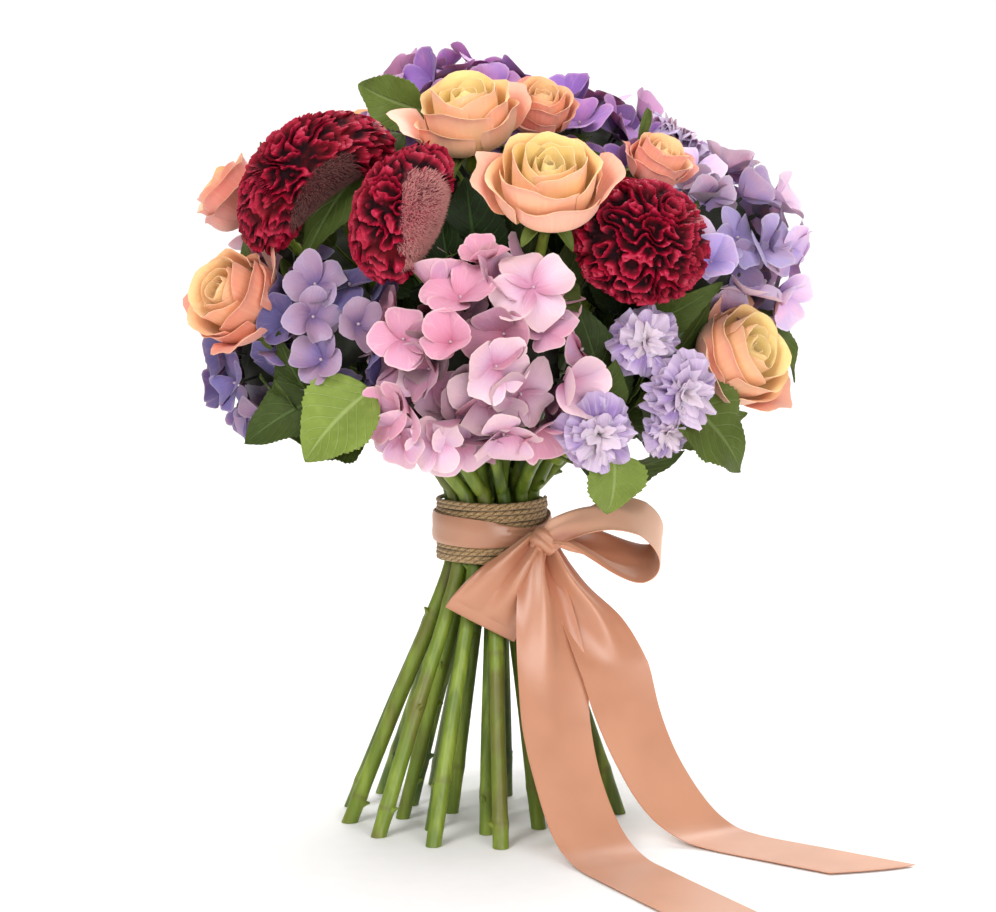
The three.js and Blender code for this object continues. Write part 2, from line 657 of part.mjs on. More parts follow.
// the stem that the leaf grows from, the step on it to start from, tip, width
const LEAVES = [
  ["rose_top", 26, [-66, -16, 370], 30],
  ["cockscomb_middle", 25, [-58, -86, 318], 18],
  ["cockscomb_left", 22, [-100, -86, 286], 20],
  ["rose_left", 25, [-121, -50, 297], 18],
  ["hydrangea_left", 20, [-118, -78, 200], 32],
  ["hydrangea_front_left", 16, [-89, -98, 194], 36],
  ["rose_left", 16, [-112, -82, 226], 22],
  ["rose_right", 16, [122, -74, 186], 36],
  ["rose_right", 24, [150, -36, 226], 26],
  ["carnation_low", 14, [55, -98, 168], 26],
  ["cockscomb_right", 23, [108, -84, 274], 24],
  ["rose_front", 27, [54, -76, 336], 16],
  ["spray_rose_top", 27, [78, -40, 356], 20],
  ["carnation_right", 18, [76, -94, 196], 24],
  ["hydrangea_left", 14, [-104, -28, 176], 30],
  ["rose_back_right", 22, [148, 22, 282], 30],
  ["hydrangea_back_right", 15, [118, 62, 204], 32],
  ["hydrangea_back_right", 17, [38, 132, 196], 32],
  ["carnation_back", 22, [-40, 146, 238], 28],
  ["hydrangea_back_left", 15, [-72, 110, 200], 32],
  ["hydrangea_back_left", 20, [-146, 32, 240], 30],
  ["cockscomb_back", 24, [-22, 122, 322], 24],
  ["rose_back_right", 25, [72, 62, 348], 24],
  ["rose_upper_left", 24, [-108, 34, 334], 26],
  ["hydrangea_right", 14, [118, -8, 190], 30],
];


// Every bloom with the sizes that its stem needs: clear is the radius that other stems keep out
// of, base is the depth of its foot below its centre, and neck is the stem's radius there.
const flowers = [];
for (const [name, at, face, radius, ring, lean, material, outer] of ROSES) {
  const sizes = { clear: 0.8 * radius, base: ROSE_BASE * radius, neck: 0.13 * radius };
  const make = (flower) => roseBloom({ ...flower, outer });
  flowers.push({ name, at, face, radius, ring, lean, material, ...sizes, make, collar: 0.6 * radius });
}
for (const [name, at, face, along, long, wide, high, arch, ring, lean] of CRESTS) {
  const sizes = { clear: high + 2, base: high, neck: 6 };
  const make = (flower) => crestBloom({ ...flower, along: V(...along), long, wide, high, arch });
  flowers.push({ name, at, face, ring, lean, material: CRIMSON, ...sizes, make });
}
for (const [name, at, face, radius, flatness, florets, petal, ring, lean, tint] of HYDRANGEAS) {
  const base = CORE_FOOT * CORE_SHARE * CORE_DEPTH * flatness * radius;
  const sizes = { radius, flatness, florets, petal, clear: 0.6 * radius, base, neck: 3 };
  flowers.push({ name, at, face, ring, lean, material: tint, ...sizes, make: hydrangeaCore });
}
for (const [name, stem, at, face, radius, ring, lean] of CARNATIONS) {
  const sizes = { clear: 0.8 * radius, base: CARNATION_BASE * radius, neck: 0.18 * radius };
  const looks = { material: LAVENDER, make: carnationBloom };
  flowers.push({ name, stem, at, face, radius, ring, lean, ...sizes, ...looks });
}
for (const flower of flowers) {
  flower.at = V(...flower.at);
  flower.facing = look(flower.face);
  flower.stem = `${flower.stem ?? flower.name}_stem`;
  flower.middle = flower.name === MIDDLE_STEM;
}

// The stems stand evenly round each ring, in the order of their leans, and turned on from them,
// so that the whole bundle spirals.
for (const ring of Object.keys(RINGS)) {
  const inRing = flowers.filter((f) => f.ring === ring);
  const leans = [...new Set(inRing.map((f) => f.lean))].sort((a, b) => a - b);
  const step = 360 / leans.length;
  const start = leans.reduce((sum, lean, i) => sum + lean - i * step, 0) / leans.length;
  for (const f of inRing) f.slot = start + SPIRAL + leans.indexOf(f.lean) * step;
}
const courses = flowers.map(stemCourse);
settleStems(courses);

// Each node's solid, which grows as pieces join it. A floret or leaf joins only where it crosses
// nothing but its own node.
const made = new Map();
function join(name, solid, material) {
  const before = made.get(name);
  made.set(name, { solid: before ? before.solid.add(solid) : solid, material });
}
function crosses(one, two) {
  const [a, b] = [one.boundingBox(), two.boundingBox()];
  if ([0, 1, 2].some((i) => a.min[i] > b.max[i] || b.min[i] > a.max[i])) return false;
  return one.intersect(two).volume() > 0;
}
const clearOfOthers = (solid, own) =>
  [...made].every(([name, other]) => name === own || !crosses(solid, other.solid));

for (const flower of flowers) join(flower.name, flower.make(flower), flower.material);
for (const course of courses) {
  const { stem, facing, collar } = course.flower;
  join(stem, stemSolid(course, made.has(stem)), GREEN);
  if (collar) join(stem, sepals(course.points.at(-1), facing, collar), GREEN);
}
for (const flower of flowers.filter((f) => f.florets)) {
  for (const sizes of hydrangeaFlorets(flower)) {
    const fitting = sizes.find((f) => clearOfOthers(f, flower.name));
    if (fitting) join(flower.name, fitting, flower.material);
  }
}

// A leaf starts as far up its stem as leaves it clear of everything else, and it takes the first
// of the tips offered that has such a place.
const LOWEST_LEAF = 6;
const LEAF_STEP = 2;
function growLeaf({ points, flower }, step, tips, width, plain) {
  for (const tip of tips) {
    for (let i = step; i >= LOWEST_LEAF; i -= LEAF_STEP) {
      const up = points[i].clone().lerp(tip, 0.5).sub(HEART).normalize();
      const grown = leaf(points[i], tip, width, up, plain);
      if (clearOfOthers(grown, flower.stem)) return join(flower.stem, grown, GREEN);
    }
  }
}
for (const [owner, step, tip, width] of LEAVES) {
  growLeaf(courses.find((c) => c.flower.name === owner), step, [V(...tip)], width);
}
// One more leaf on each stem, to whichever side of its bloom has room
const FILLER = { reach: 46, behind: 6, width: 32, step: 24 };
const FILLER_TURNS = [20, 160, -20, 200, 60, 120, -50, 230, 90, 270];
for (const course of courses) {
  const { at, facing } = course.flower;
  const out = at.clone().setZ(0).normalize();
  const side = V(-out.y, out.x, 0);
  const up = V(0, 0, 1);
  const behind = at.clone().addScaledVector(facing, -FILLER.behind);
  const tips = FILLER_TURNS.map((turn) =>
    behind
      .clone()
      .addScaledVector(side, FILLER.reach * Math.cos(radians(turn)))
      .addScaledVector(up, FILLER.reach * Math.sin(radians(turn))),
  );
  growLeaf(course, FILLER.step, tips, FILLER.width, true);
}
for (const [name, { solid, material }] of made) addPiece(name, solid, material);
addPiece("jute_twine", twine(), JUTE);
addPiece("satin_ribbon", ribbon(), SATIN);

export default bouquet;
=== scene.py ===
import math
import random

import bpy
import numpy as np
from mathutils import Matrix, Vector, noise


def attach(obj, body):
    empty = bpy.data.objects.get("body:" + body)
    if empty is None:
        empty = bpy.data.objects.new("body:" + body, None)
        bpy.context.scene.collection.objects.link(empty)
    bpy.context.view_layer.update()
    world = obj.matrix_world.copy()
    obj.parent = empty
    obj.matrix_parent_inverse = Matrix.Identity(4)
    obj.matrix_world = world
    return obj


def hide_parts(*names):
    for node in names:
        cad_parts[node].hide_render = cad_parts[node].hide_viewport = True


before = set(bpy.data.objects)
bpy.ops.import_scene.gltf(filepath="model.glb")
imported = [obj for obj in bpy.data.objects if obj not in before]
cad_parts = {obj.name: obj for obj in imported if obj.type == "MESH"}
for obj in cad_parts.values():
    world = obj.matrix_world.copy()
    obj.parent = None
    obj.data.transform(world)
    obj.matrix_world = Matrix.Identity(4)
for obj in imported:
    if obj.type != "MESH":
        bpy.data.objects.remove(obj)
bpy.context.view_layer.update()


# The studio: a sweep of white paper under large soft lamps in a white room, and a camera level
# with the upper blooms that looks slightly down, as the bouquet was photographed.
SWEEP_NEAR, SWEEP_FAR, SWEEP_BEND, SWEEP_WIDE, SWEEP_TOP = -1.6, 1.3, 0.8, 3.0, 3.0
SWEEP_UNDER = 0.0002  # how far the paper lies below the cut stems
CAMERA_AT = (0.003, -1.4, 0.35)
CAMERA_DOWN = 6.75  # degrees
LENS, SENSOR = 101, 36  # millimetres
ROOM_LIGHT = 0.36  # strength of the white room's own light
MIDDLE = Vector((0, 0, 0.22))  # what the lamps look at
# place, size in metres, power in watts
LAMPS = [
    ((-0.9, -1.5, 1.4), 0.9, 25),
    ((0.7, -1.8, 0.6), 1.1, 21),
    ((0.3, 1.1, 1.6), 1.2, 22),
    ((0.0, 0.1, 2.2), 1.6, 18),
]


def put_in(name, data):
    """A new object in the scene, at the origin."""
    thing = bpy.data.objects.new(name, data)
    bpy.context.scene.collection.objects.link(thing)
    return thing


profile = [(SWEEP_NEAR, 0.0), (SWEEP_FAR, 0.0)]
for step in range(1, 13):
    turn = math.radians(7.5 * step)
    profile.append((SWEEP_FAR + SWEEP_BEND * math.sin(turn), SWEEP_BEND * (1 - math.cos(turn))))
profile.append((SWEEP_FAR + SWEEP_BEND, SWEEP_TOP))
points = [(x, y, z - SWEEP_UNDER) for y, z in profile for x in (-SWEEP_WIDE, SWEEP_WIDE)]
faces = [(i, i + 1, i + 3, i + 2) for i in range(0, len(points) - 2, 2)]
paper = bpy.data.meshes.new("paper_sweep")
paper.from_pydata(points, [], faces)
paper.polygons.foreach_set("use_smooth", [True] * len(faces))
sweep = put_in("paper_sweep", paper)

camera = put_in("camera", bpy.data.cameras.new("camera"))
camera.data.lens, camera.data.sensor_width = LENS, SENSOR
camera.location = CAMERA_AT
camera.rotation_euler = (math.radians(90 - CAMERA_DOWN), 0, 0)
bpy.context.scene.camera = camera
for number, (place, size, power) in enumerate(LAMPS):
    lamp = bpy.data.lights.new(f"lamp_{number}", "AREA")
    lamp.size = size
    lamp.energy = power
    stand = put_in(f"lamp_{number}", lamp)
    stand.location = place
    stand.rotation_euler = (MIDDLE - stand.location).to_track_quat("-Z", "Y").to_euler()
world = bpy.data.worlds.new("white_room")
world.use_nodes = True
air = world.node_tree.nodes["Background"].inputs
air["Color"].default_value = (1, 1, 1, 1)
air["Strength"].default_value = ROOM_LIGHT
bpy.context.scene.world = world
bpy.context.scene.view_settings.view_transform = "Standard"


class Wire:
    """A value in a material. Sums on it add the Math nodes that work them out."""

    def __init__(self, finish, socket):
        self.finish, self.socket = finish, socket

    def maths(self, operation, *values):
        return self.finish.node("ShaderNodeMath", {"operation": operation}, dict(enumerate(values)))

    def __add__(self, other):
        return self.maths("ADD", self, other)

    def __sub__(self, other):
        return self.maths("SUBTRACT", self, other)

    def __rsub__(self, other):
        return self.maths("SUBTRACT", other, self)

    def __mul__(self, other):
        return self.maths("MULTIPLY", self, other)

    def __abs__(self):
        return self.maths("ABSOLUTE", self)

    __radd__, __rmul__ = __add__, __mul__

    def within(self, low, high):
        """0 below low and 1 above high, with a smooth step between them."""
        settings = {"interpolation_type": "SMOOTHSTEP"}
        return self.finish.node("ShaderNodeMapRange", settings, {0: self, 1: low, 2: high})


def colour(code):
    """A paint colour, such as 7a9a3a, in the light that Blender reckons with."""
    parts = [int(code[i : i + 2], 16) / 255 for i in (0, 2, 4)]
    return tuple(p / 12.92 if p < 0.04045 else ((p + 0.055) / 1.055) ** 2.4 for p in parts) + (1.0,)


class Finish:
    """A material, with what each of its shader's sockets is given."""

    def __init__(self, name, **constants):
        self.material = bpy.data.materials.new(name)
        self.material.use_nodes = True
        self.tree = self.material.node_tree
        self.shader = self.tree.nodes["Principled BSDF"]
        for key, value in constants.items():
            socket = key.replace("_", " ").title().replace("Ior", "IOR")
            self.give(self.shader.inputs[socket], value)

    def node(self, kind, settings, values, output=0):
        node = self.tree.nodes.new(kind)
        for key, value in settings.items():
            setattr(node, key, value)
        for key, value in values.items():
            self.give(node.inputs[key], value)
        return Wire(self, node.outputs[output])

    def give(self, socket, value):
        """A socket gets a wire, a number, or a colour by its code."""
        if isinstance(value, Wire):
            self.tree.links.new(value.socket, socket)
        else:
            socket.default_value = colour(value) if isinstance(value, str) else value

    def tone(self):
        """The piece's own marks: across and along each petal or stem, its layer, and its chance."""
        read = self.node("ShaderNodeAttribute", {"attribute_name": "tone"}, {})
        chance = Wire(self, read.socket.node.outputs["Alpha"])
        parts = self.node("ShaderNodeSeparateColor", {}, {"Color": read}).socket.node.outputs
        return [Wire(self, part) for part in parts] + [chance]

    def speckle(self, scale, stretch=(1, 1, 1), detail=3.0):
        where = self.node("ShaderNodeTexCoord", {}, {}, "Object")
        placed = self.node("ShaderNodeMapping", {}, {"Vector": where, "Scale": stretch})
        values = {"Vector": placed, "Scale": scale, "Detail": detail}
        return self.node("ShaderNodeTexNoise", {}, values, "Fac")

    def blend(self, share, first, second):
        """A colour that goes from the first to the second."""
        values = {0: share, 6: first, 7: second}
        return self.node("ShaderNodeMix", {"data_type": "RGBA"}, values, 2)

    def lines(self, across, along):
        """Fine lines that run along a petal, from its own places across and along."""
        where = self.node("ShaderNodeCombineXYZ", {}, {0: across, 1: along})
        values = {"Vector": where, "Scale": 1.0, "Detail": 2.0}
        return self.node("ShaderNodeTexNoise", {"noise_dimensions": "2D"}, values, "Fac")

    def coated(self, tint, *coats):
        """A tint under coats of others, each with the share that it covers."""
        for share, coat in coats:
            tint = self.blend(share, tint, coat)
        return tint

    def paint(self, tint, *coats):
        self.give(self.shader.inputs["Base Color"], self.coated(tint, *coats))

    def bump(self, height, distance, strength=1.0):
        values = {"Height": height, "Distance": distance, "Strength": strength}
        self.give(self.shader.inputs["Normal"], self.node("ShaderNodeBump", {}, values))


paper_white = Finish("white_paper", roughness=0.9)
paper_white.paint("f6f5f3", (paper_white.speckle(90), "fbfaf9"))
paper.materials.append(paper_white.material)


# The bunch: 25 green stems, spiralled by hand and tied. Each is cut level, runs through the tie in
# one of three rings, and bends out to its own bloom, and above the tie they push each other clear.
MM = 0.001  # every mesh from here on is shaped in millimetres
TIE_LOW, TIE_HIGH, SHOULDER = 130, 166, 205
HEART = np.array([0.0, 0.0, 235.0])  # the middle of the head, which leaves face away from
FOOT_SHIFT = np.array([-5.0, 0.0, 0.0])  # all feet but the middle stem's stand this far aside
FOOT_SPREAD, SHOULDER_SPREAD = 3.3, 1.75  # how much wider the rings are there than in the tie
FOOT_TURN, TIE_TURN, SHOULDER_TURN, SPIRAL = 12, 7, 30, 40  # degrees round the axis
RINGS = {"outer": (21, 4.1), "middle": (12.6, 3.75), "inner": (4.8, 3.75)}  # radius, stem radius
SEAT_GAP, NECK = 0.3, 9
STEM_STEPS, STEM_ROUNDS, STEM_CLEAR = 30, 240, 2.4
STEM_PUSH, BLOOM_PUSH, STEM_PULL, STEM_MOVE = 0.25, 0.5, 0.35, 2
BRANCH_STEP = 8  # the step at which the stem of a second bloom leaves the first one's

# centre, azimuth and elevation that it faces, the radius that stems keep out of, the depth of its
# foot, ring, lean
BLOOMS = {
    "rose_front": ((26, -113, 319), (-88, 40), 20.8, 16.12, "middle", -76),
    "rose_top": ((-11, -62, 352), (-105, 66), 20.8, 16.12, "inner", -104),
    "spray_rose_top": ((24, -34, 357), (-80, 60), 13.6, 10.54, "middle", -56),
    "spray_rose_right": ((79, -62, 331), (-45, 50), 12.8, 9.92, "middle", -37),
    "rose_left": ((-122, -64, 262), (-140, 5), 20, 15.5, "outer", -154),
    "rose_right": ((118, -61, 236), (-40, 12), 18.4, 14.26, "outer", -24),
    "rose_upper_left": ((-128, -12, 312), (-172, 25), 16, 12.4, "middle", -171),
    "rose_back_left": ((-60, 86, 334), (125, 45), 20, 15.5, "middle", 118),
    "rose_back_right": ((104, 54, 310), (28, 35), 20, 15.5, "outer", 25),
    "cockscomb_left": ((-91, -74, 329), (-143, 40), 21, 19, "middle", -140),
    "cockscomb_middle": ((-43, -101, 310), (-155, 22), 23, 21, "middle", -112),
    "cockscomb_right": ((70, -91, 296), (-62, 16), 24, 22, "middle", -57),
    "cockscomb_back": ((18, 92, 330), (78, 42), 24, 22, "outer", 78),
    "hydrangea_pink": ((-5, -86, 239), (-93, 3), 28.2, 15.6884, "outer", -93),
    "hydrangea_front_left": ((-75, -66, 256), (-125, 0), 18.6, 10.3477, "outer", -133),
    "hydrangea_left": ((-103, -14, 233), (-165, -5), 21.6, 12.7235, "outer", -172),
    "hydrangea_top": ((-16, 24, 345), (100, 78), 24.6, 14.4906, "inner", 110),
    "hydrangea_top_right": ((48, 10, 328), (-5, 62), 22.8, 13.4303, "inner", -5),
    "hydrangea_right": ((108, -28, 288), (-15, 18), 24.6, 14.4906, "outer", -15),
    "hydrangea_back_right": ((62, 92, 254), (55, 5), 27.6, 15.3546, "outer", 55),
    "hydrangea_back_left": ((-88, 66, 266), (141, 12), 27.6, 15.3546, "outer", 141),
    "carnation_right": ((73, -99, 251), (-75, 18), 14, 10.85, "outer", -48),
    "carnation_right_2": ((92, -106, 226), (-58, -6), 15.6, 12.09, "outer", -48),
    "carnation_low": ((51, -116, 207), (-75, -8), 15.2, 11.78, "outer", -63),
    "carnation_high": ((94, 6, 346), (0, 55), 14.4, 11.16, "middle", 0),
    "carnation_back": ((-18, 124, 280), (97, 10), 16, 12.4, "outer", 98),
}
MIDDLE_STEM = "hydrangea_top_right"
BRANCHES = {"carnation_right_2": "carnation_right"}


def polar(radius, degrees, z=0.0):
    angle = math.radians(degrees)
    return np.array([radius * math.cos(angle), radius * math.sin(angle), z])


def unit(vectors):
    return vectors / np.linalg.norm(vectors, axis=-1, keepdims=True)


def way_to(azimuth, elevation):
    """The direction that an azimuth and an elevation give, both in degrees."""
    up = math.radians(elevation)
    return polar(math.cos(up), azimuth, math.sin(up))


def centre_of(name):
    return np.array(BLOOMS[name][0], float)


def facing_of(name):
    return way_to(*BLOOMS[name][1])


def foot_of(name):
    """Where the stem of a bloom ends, just short of it."""
    return centre_of(name) - facing_of(name) * (BLOOMS[name][3] + SEAT_GAP)


def slots():
    """Where each stem stands in its ring: evenly, in the order of their leans, and turned on."""
    slot = {}
    for ring in RINGS:
        leans = sorted({b[5] for b in BLOOMS.values() if b[4] == ring})
        step = 360 / len(leans)
        start = sum(lean - i * step for i, lean in enumerate(leans)) / len(leans)
        for name, bloom in BLOOMS.items():
            if bloom[4] == ring:
                slot[name] = start + SPIRAL + leans.index(bloom[5]) * step
    return slot


def courses():
    """The foot, the low tie point and the points above the tie of every stem."""
    feet, lows, routes = [], [], []
    slot = slots()
    t = np.linspace(0, 1, STEM_STEPS - 1)[:, None]
    for name, bloom in BLOOMS.items():
        radius, turn = RINGS[bloom[4]][0], slot[name]
        end = foot_of(name)
        neck = end - facing_of(name) * NECK
        tie = polar(radius, turn - TIE_TURN, TIE_HIGH)
        shoulder = polar(radius * SHOULDER_SPREAD, turn - SHOULDER_TURN, SHOULDER)
        curve = (1 - t) ** 2 * tie + 2 * t * (1 - t) * shoulder + t**2 * neck
        foot = polar(radius * FOOT_SPREAD, turn + FOOT_TURN) + FOOT_SHIFT
        feet.append(np.zeros(3) if name == MIDDLE_STEM else foot)
        lows.append(polar(radius, turn + TIE_TURN, TIE_LOW))
        routes.append(np.vstack([curve, end]))
    return feet, lows, np.array(routes)


def settle(routes):
    """Stems pull straight above the tie, and push each other and the blooms clear."""
    names = list(BLOOMS)
    count = len(names)
    thick = np.array([RINGS[BLOOMS[n][4]][1] for n in names])
    owner = np.array([names.index(BRANCHES.get(n, n)) for n in names])
    reach = np.repeat(np.repeat(thick[:, None] + thick + STEM_CLEAR, STEM_STEPS, 0), STEM_STEPS, 1)
    other = np.repeat(np.repeat(owner[:, None] != owner, STEM_STEPS, 0), STEM_STEPS, 1)
    centres = np.array([BLOOMS[n][0] for n in names], float)
    room = np.array([BLOOMS[n][2] for n in names]) + thick[:, None] + STEM_CLEAR
    own = np.eye(count, dtype=bool)[:, None, :]
    for _ in range(STEM_ROUNDS):
        flat = routes.reshape(-1, 3)
        square = (flat**2).sum(1)
        near = square[:, None] + square - 2 * flat @ flat.T
        one, two = np.nonzero((near < reach**2) & other)
        away = flat[one] - flat[two]
        gap = np.linalg.norm(away, axis=1)
        moves = np.zeros_like(flat)
        push = STEM_PUSH * (reach[one, two] - gap) / gap
        np.add.at(moves, one, away * push[:, None])
        moves = moves.reshape(routes.shape)
        away = routes[:, :, None] - centres
        gap = np.linalg.norm(away, axis=3)
        push = np.where((gap < room[:, None]) & ~own, BLOOM_PUSH * (room[:, None] - gap) / gap, 0)
        moves += (away * push[..., None]).sum(2)
        moves[:, 1:-2] += STEM_PULL * ((routes[:, :-3] + routes[:, 2:-1]) / 2 - routes[:, 1:-2])
        length = np.maximum(np.linalg.norm(moves, axis=2, keepdims=True), 1e-9)
        moves *= np.minimum(1, STEM_MOVE / length)
        routes[:, 2:-2] += moves[:, 2:-2]
    return routes


FEET, LOWS, ROUTES = courses()
ROUTES = settle(ROUTES)
ROUTE_OF = dict(zip(BLOOMS, ROUTES))


def spline(rows, t):
    """A smooth curve through the rows, at shares t of the way along them."""
    rows = np.asarray(rows, float)
    last = len(rows) - 1
    place = np.clip(np.asarray(t, float), 0, 1) * last
    i = np.minimum(place.astype(int), last - 1)
    s = (place - i)[:, None]
    a, b = rows[np.maximum(i - 1, 0)], rows[i]
    c, d = rows[i + 1], rows[np.minimum(i + 2, last)]
    return 0.5 * (2 * b + (c - a) * s + (2 * a - 5 * b + 4 * c - d) * s**2
                  + (3 * b - a - 3 * c + d) * s**3)


PRESS_STEP = 0.004
SHARP = math.radians(55)  # edges sharper than this aren't smoothed


class Growth:
    """The mesh of one piece as it grows, with its tone: across, along, layer and chance."""

    def __init__(self):
        self.points, self.faces, self.tones, self.paints = [], [], [], []
        self.count = 0

    def add(self, points, faces, tone, paint=0):
        self.points.append(points)
        self.faces += [tuple(self.count + i for i in face) for face in faces]
        columns = [np.broadcast_to(part, len(points)) for part in tone]
        self.tones.append(np.stack(columns, axis=1))
        self.paints += [paint] * len(faces)
        self.count += len(points)

    def add_bar(self, path, radii, sides, tone, paint=0, turn=np.eye(3), at=0.0):
        points, faces, _ = tube(path, radii, sides)
        self.add(points @ turn.T + at, faces, tone, paint)

    def press(self, cut, surface, thickness, layer, chance, paint=0, turn=np.eye(3), at=0.0):
        """Adds a petal or a leaf: a blank, pressed to a surface of (across, along)."""
        (u, v, side), faces = cut[0].T, cut[1]
        middle = surface(u, v)
        u_in, v_in = np.clip(u, -0.97, 0.97), np.clip(v, 0.02, 0.98)
        out = np.cross(surface(u_in + PRESS_STEP, v_in) - surface(u_in - PRESS_STEP, v_in),
                       surface(u_in, v_in + PRESS_STEP) - surface(u_in, v_in - PRESS_STEP))
        points = middle + unit(out + 1e-9) * (np.sign(side) * thickness / 2)[:, None]
        self.add(points @ turn.T + at, faces, (u / 2 + 0.5, v, layer, chance), paint)

    def make(self, name, *finishes):
        mesh = bpy.data.meshes.new(name)
        mesh.from_pydata(np.concatenate(self.points) * MM, [], self.faces)
        tone = mesh.attributes.new("tone", "FLOAT_COLOR", "POINT")
        tone.data.foreach_set("color", np.concatenate(self.tones).astype(np.float32).ravel())
        mesh.polygons.foreach_set("material_index", self.paints)
        mesh.polygons.foreach_set("use_smooth", [True] * len(self.faces))
        mesh.set_sharp_from_angle(angle=SHARP)
        for finish in finishes:
            mesh.materials.append(finish.material)
        mesh.validate()
        return put_in(name, mesh)


def tube(path, radii, sides, flute=lambda around, along: 1.0):
    """Points, faces, and the places around and along, of a closed round bar on a path."""
    path = np.asarray(path, float)
    way = unit(np.gradient(path, axis=0))
    rings = []
    x = unit(np.cross(way[0], [0.3, 1.0, 0.1]))
    around = np.arange(sides) / sides
    for i, (centre, radius) in enumerate(zip(path, radii)):
        x = unit(x - way[i] * (x @ way[i]))
        y = np.cross(way[i], x)
        turn = 2 * np.pi * around[:, None]
        swell = np.reshape(flute(around, i / (len(path) - 1)), (-1, 1)) * radius
        rings.append(centre + swell * (np.cos(turn) * x + np.sin(turn) * y))
    faces = [(i * sides + j, i * sides + (j + 1) % sides,
              (i + 1) * sides + (j + 1) % sides, (i + 1) * sides + j)
             for i in range(len(path) - 1) for j in range(sides)]
    faces.append(tuple(reversed(range(sides))))
    faces.append(tuple(range((len(path) - 1) * sides, len(path) * sides)))
    places = np.tile(around, len(path)), np.repeat(np.linspace(0, 1, len(path)), sides)
    return np.concatenate(rings), faces, places


STEM_SIDES, STEM_FINE, THORNS = 12, 3.2, 6
KNUCKLE_FIRST, KNUCKLE_STEP, KNUCKLES_STOP = (14, 40), (44, 95), 60
stem_skin = Finish("stem_skin", roughness=0.42, specular_ior_level=0.45)
_, _, layer, chance = stem_skin.tone()
streaks = stem_skin.speckle(150, (1, 1, 0.06), 4)
mottle = stem_skin.speckle(45, (1, 1, 0.5))
browned = (mottle + chance * 0.35).within(0.8, 1.0)
scars = layer.within(0.55, 1.0)
stem_skin.paint("354a0e", (chance, "677b1f"), (streaks.within(0.42, 0.7), "809231"),
                (mottle.within(0.5, 0.75) * 0.75, "30500f"), (browned * 0.45, "75602f"),
                (scars * 0.45, "5f5a26"))
stem_skin.bump(streaks + mottle * 0.5, 0.0004, 0.5)

cut_end = Finish("stem_cut_end", roughness=0.7)
cut_end.paint("c9cf9a", (cut_end.speckle(700), "94a05c"))


def grow_stem(growth, name, draw):
    """One stem: a bar with knuckles, and on a rose the stubs of its thorns."""
    i = list(BLOOMS).index(name)
    thick = RINGS[BLOOMS[name][4]][1]
    branch = name in BRANCHES
    start = [] if branch else [FEET[i], FEET[i] * 0.6 + LOWS[i] * 0.4, LOWS[i]]
    rows = np.vstack([*start, ROUTES[i][BRANCH_STEP if branch else 0 :]])
    steps = np.concatenate([[0], np.cumsum(np.linalg.norm(np.diff(rows, axis=0), axis=1))])
    dense = np.linspace(0, steps[-1], int(steps[-1] / STEM_FINE))
    share = np.interp(dense, steps, np.linspace(0, 1, len(rows)))
    path = spline(rows, share)
    taper = np.interp(dense / steps[-1], [0, 0.45, 0.97, 1], [0.97, 0.93, 0.66, 0.8])
    radii = thick * taper * (1 + 0.03 * np.sin(dense / 17 + draw.random() * 6))
    scar = np.zeros(len(dense))
    knuckle = draw.uniform(*KNUCKLE_FIRST)
    knuckles = []
    while knuckle < steps[-1] - KNUCKLES_STOP:
        swell = np.exp(-(((dense - knuckle) / 3.4) ** 2))
        radii *= 1 + 0.1 * swell
        scar = np.maximum(scar, swell)
        knuckles.append(knuckle)
        knuckle += draw.uniform(*KNUCKLE_STEP)
    points, faces, (around, lengthwise) = tube(path, radii, STEM_SIDES)
    if not branch:
        way = unit(path[1] - path[0])
        points[:STEM_SIDES] -= way * (points[:STEM_SIDES, 2:] / way[2])
    shade = draw.random()
    tone = (around, lengthwise, np.repeat(scar, STEM_SIDES), shade)
    growth.add(points, faces[:-2], tone, 0)
    growth.add(points[:STEM_SIDES], [tuple(reversed(range(STEM_SIDES)))], (0, 0, 0, shade), 1)
    growth.add(points[-STEM_SIDES:], [tuple(range(STEM_SIDES))], (0, 1, 0, shade), 0)
    for place in knuckles:
        thorn(growth, path, dense, radii, place + draw.uniform(-3, 3), draw, shade)
    if "rose" in name:
        for place in (draw.uniform(15, steps[-1] - 70) for _ in range(THORNS)):
            thorn(growth, path, dense, radii, place, draw, shade)


def thorn(growth, path, dense, radii, place, draw, shade):
    """A short stub, where a thorn or a side shoot was taken off."""
    k = int(np.argmin(abs(dense - place)))
    k = min(max(k, 1), len(path) - 2)
    way = unit(path[k + 1] - path[k - 1])
    out = unit(np.cross(way, polar(1, draw.uniform(0, 360), 0.2)))
    root = path[k] + out * radii[k] * 0.6
    tip = path[k] + out * radii[k] * 1.5 + way * draw.uniform(0.6, 2.2)
    stub = [root - way * 1.0, root * 0.4 + tip * 0.6, tip]
    growth.add_bar(stub, [2.1, 1.2, 0.5], 6, (0, 0, 0.55, shade))


# The leaves: rose and hydrangea leaves, left on the stems between the blooms. Each has a short
# stalk, a folded rib with side veins that quilt the blade, and a saw-toothed edge. More of them,
# in shade, fill the inside of the bunch, painted nearly black as painted shade.
LEAF_ARCH, LEAF_FOLD, LEAF_THICK = 0.1, 0.24, 0.5
SIDE_VEINS, VEIN_SLANT, TEETH_PER_MM = 8, 2.6, 0.42
FILLER_REACH, FILLER_BEHIND, FILLER_WIDTH, FILLER_LIGHT = 46, 6, 27.2, (0.15, 0.5)
BLADE_FROM = 0.3  # share of the leaf's length that is stalk
# leaves inside the bunch: on each stem, tries, how far from the heart they end, and how far out
# the nearly black green of their painted shade starts to turn lighter
INNER_LEAVES, INNER_TRIES, INNER_EDGE, INNER_DARK = 4, 24, 126, 98
INNER_STEPS, INNER_LENGTH, INNER_WIDTH = (14, 25), (36, 52), (26, 36)

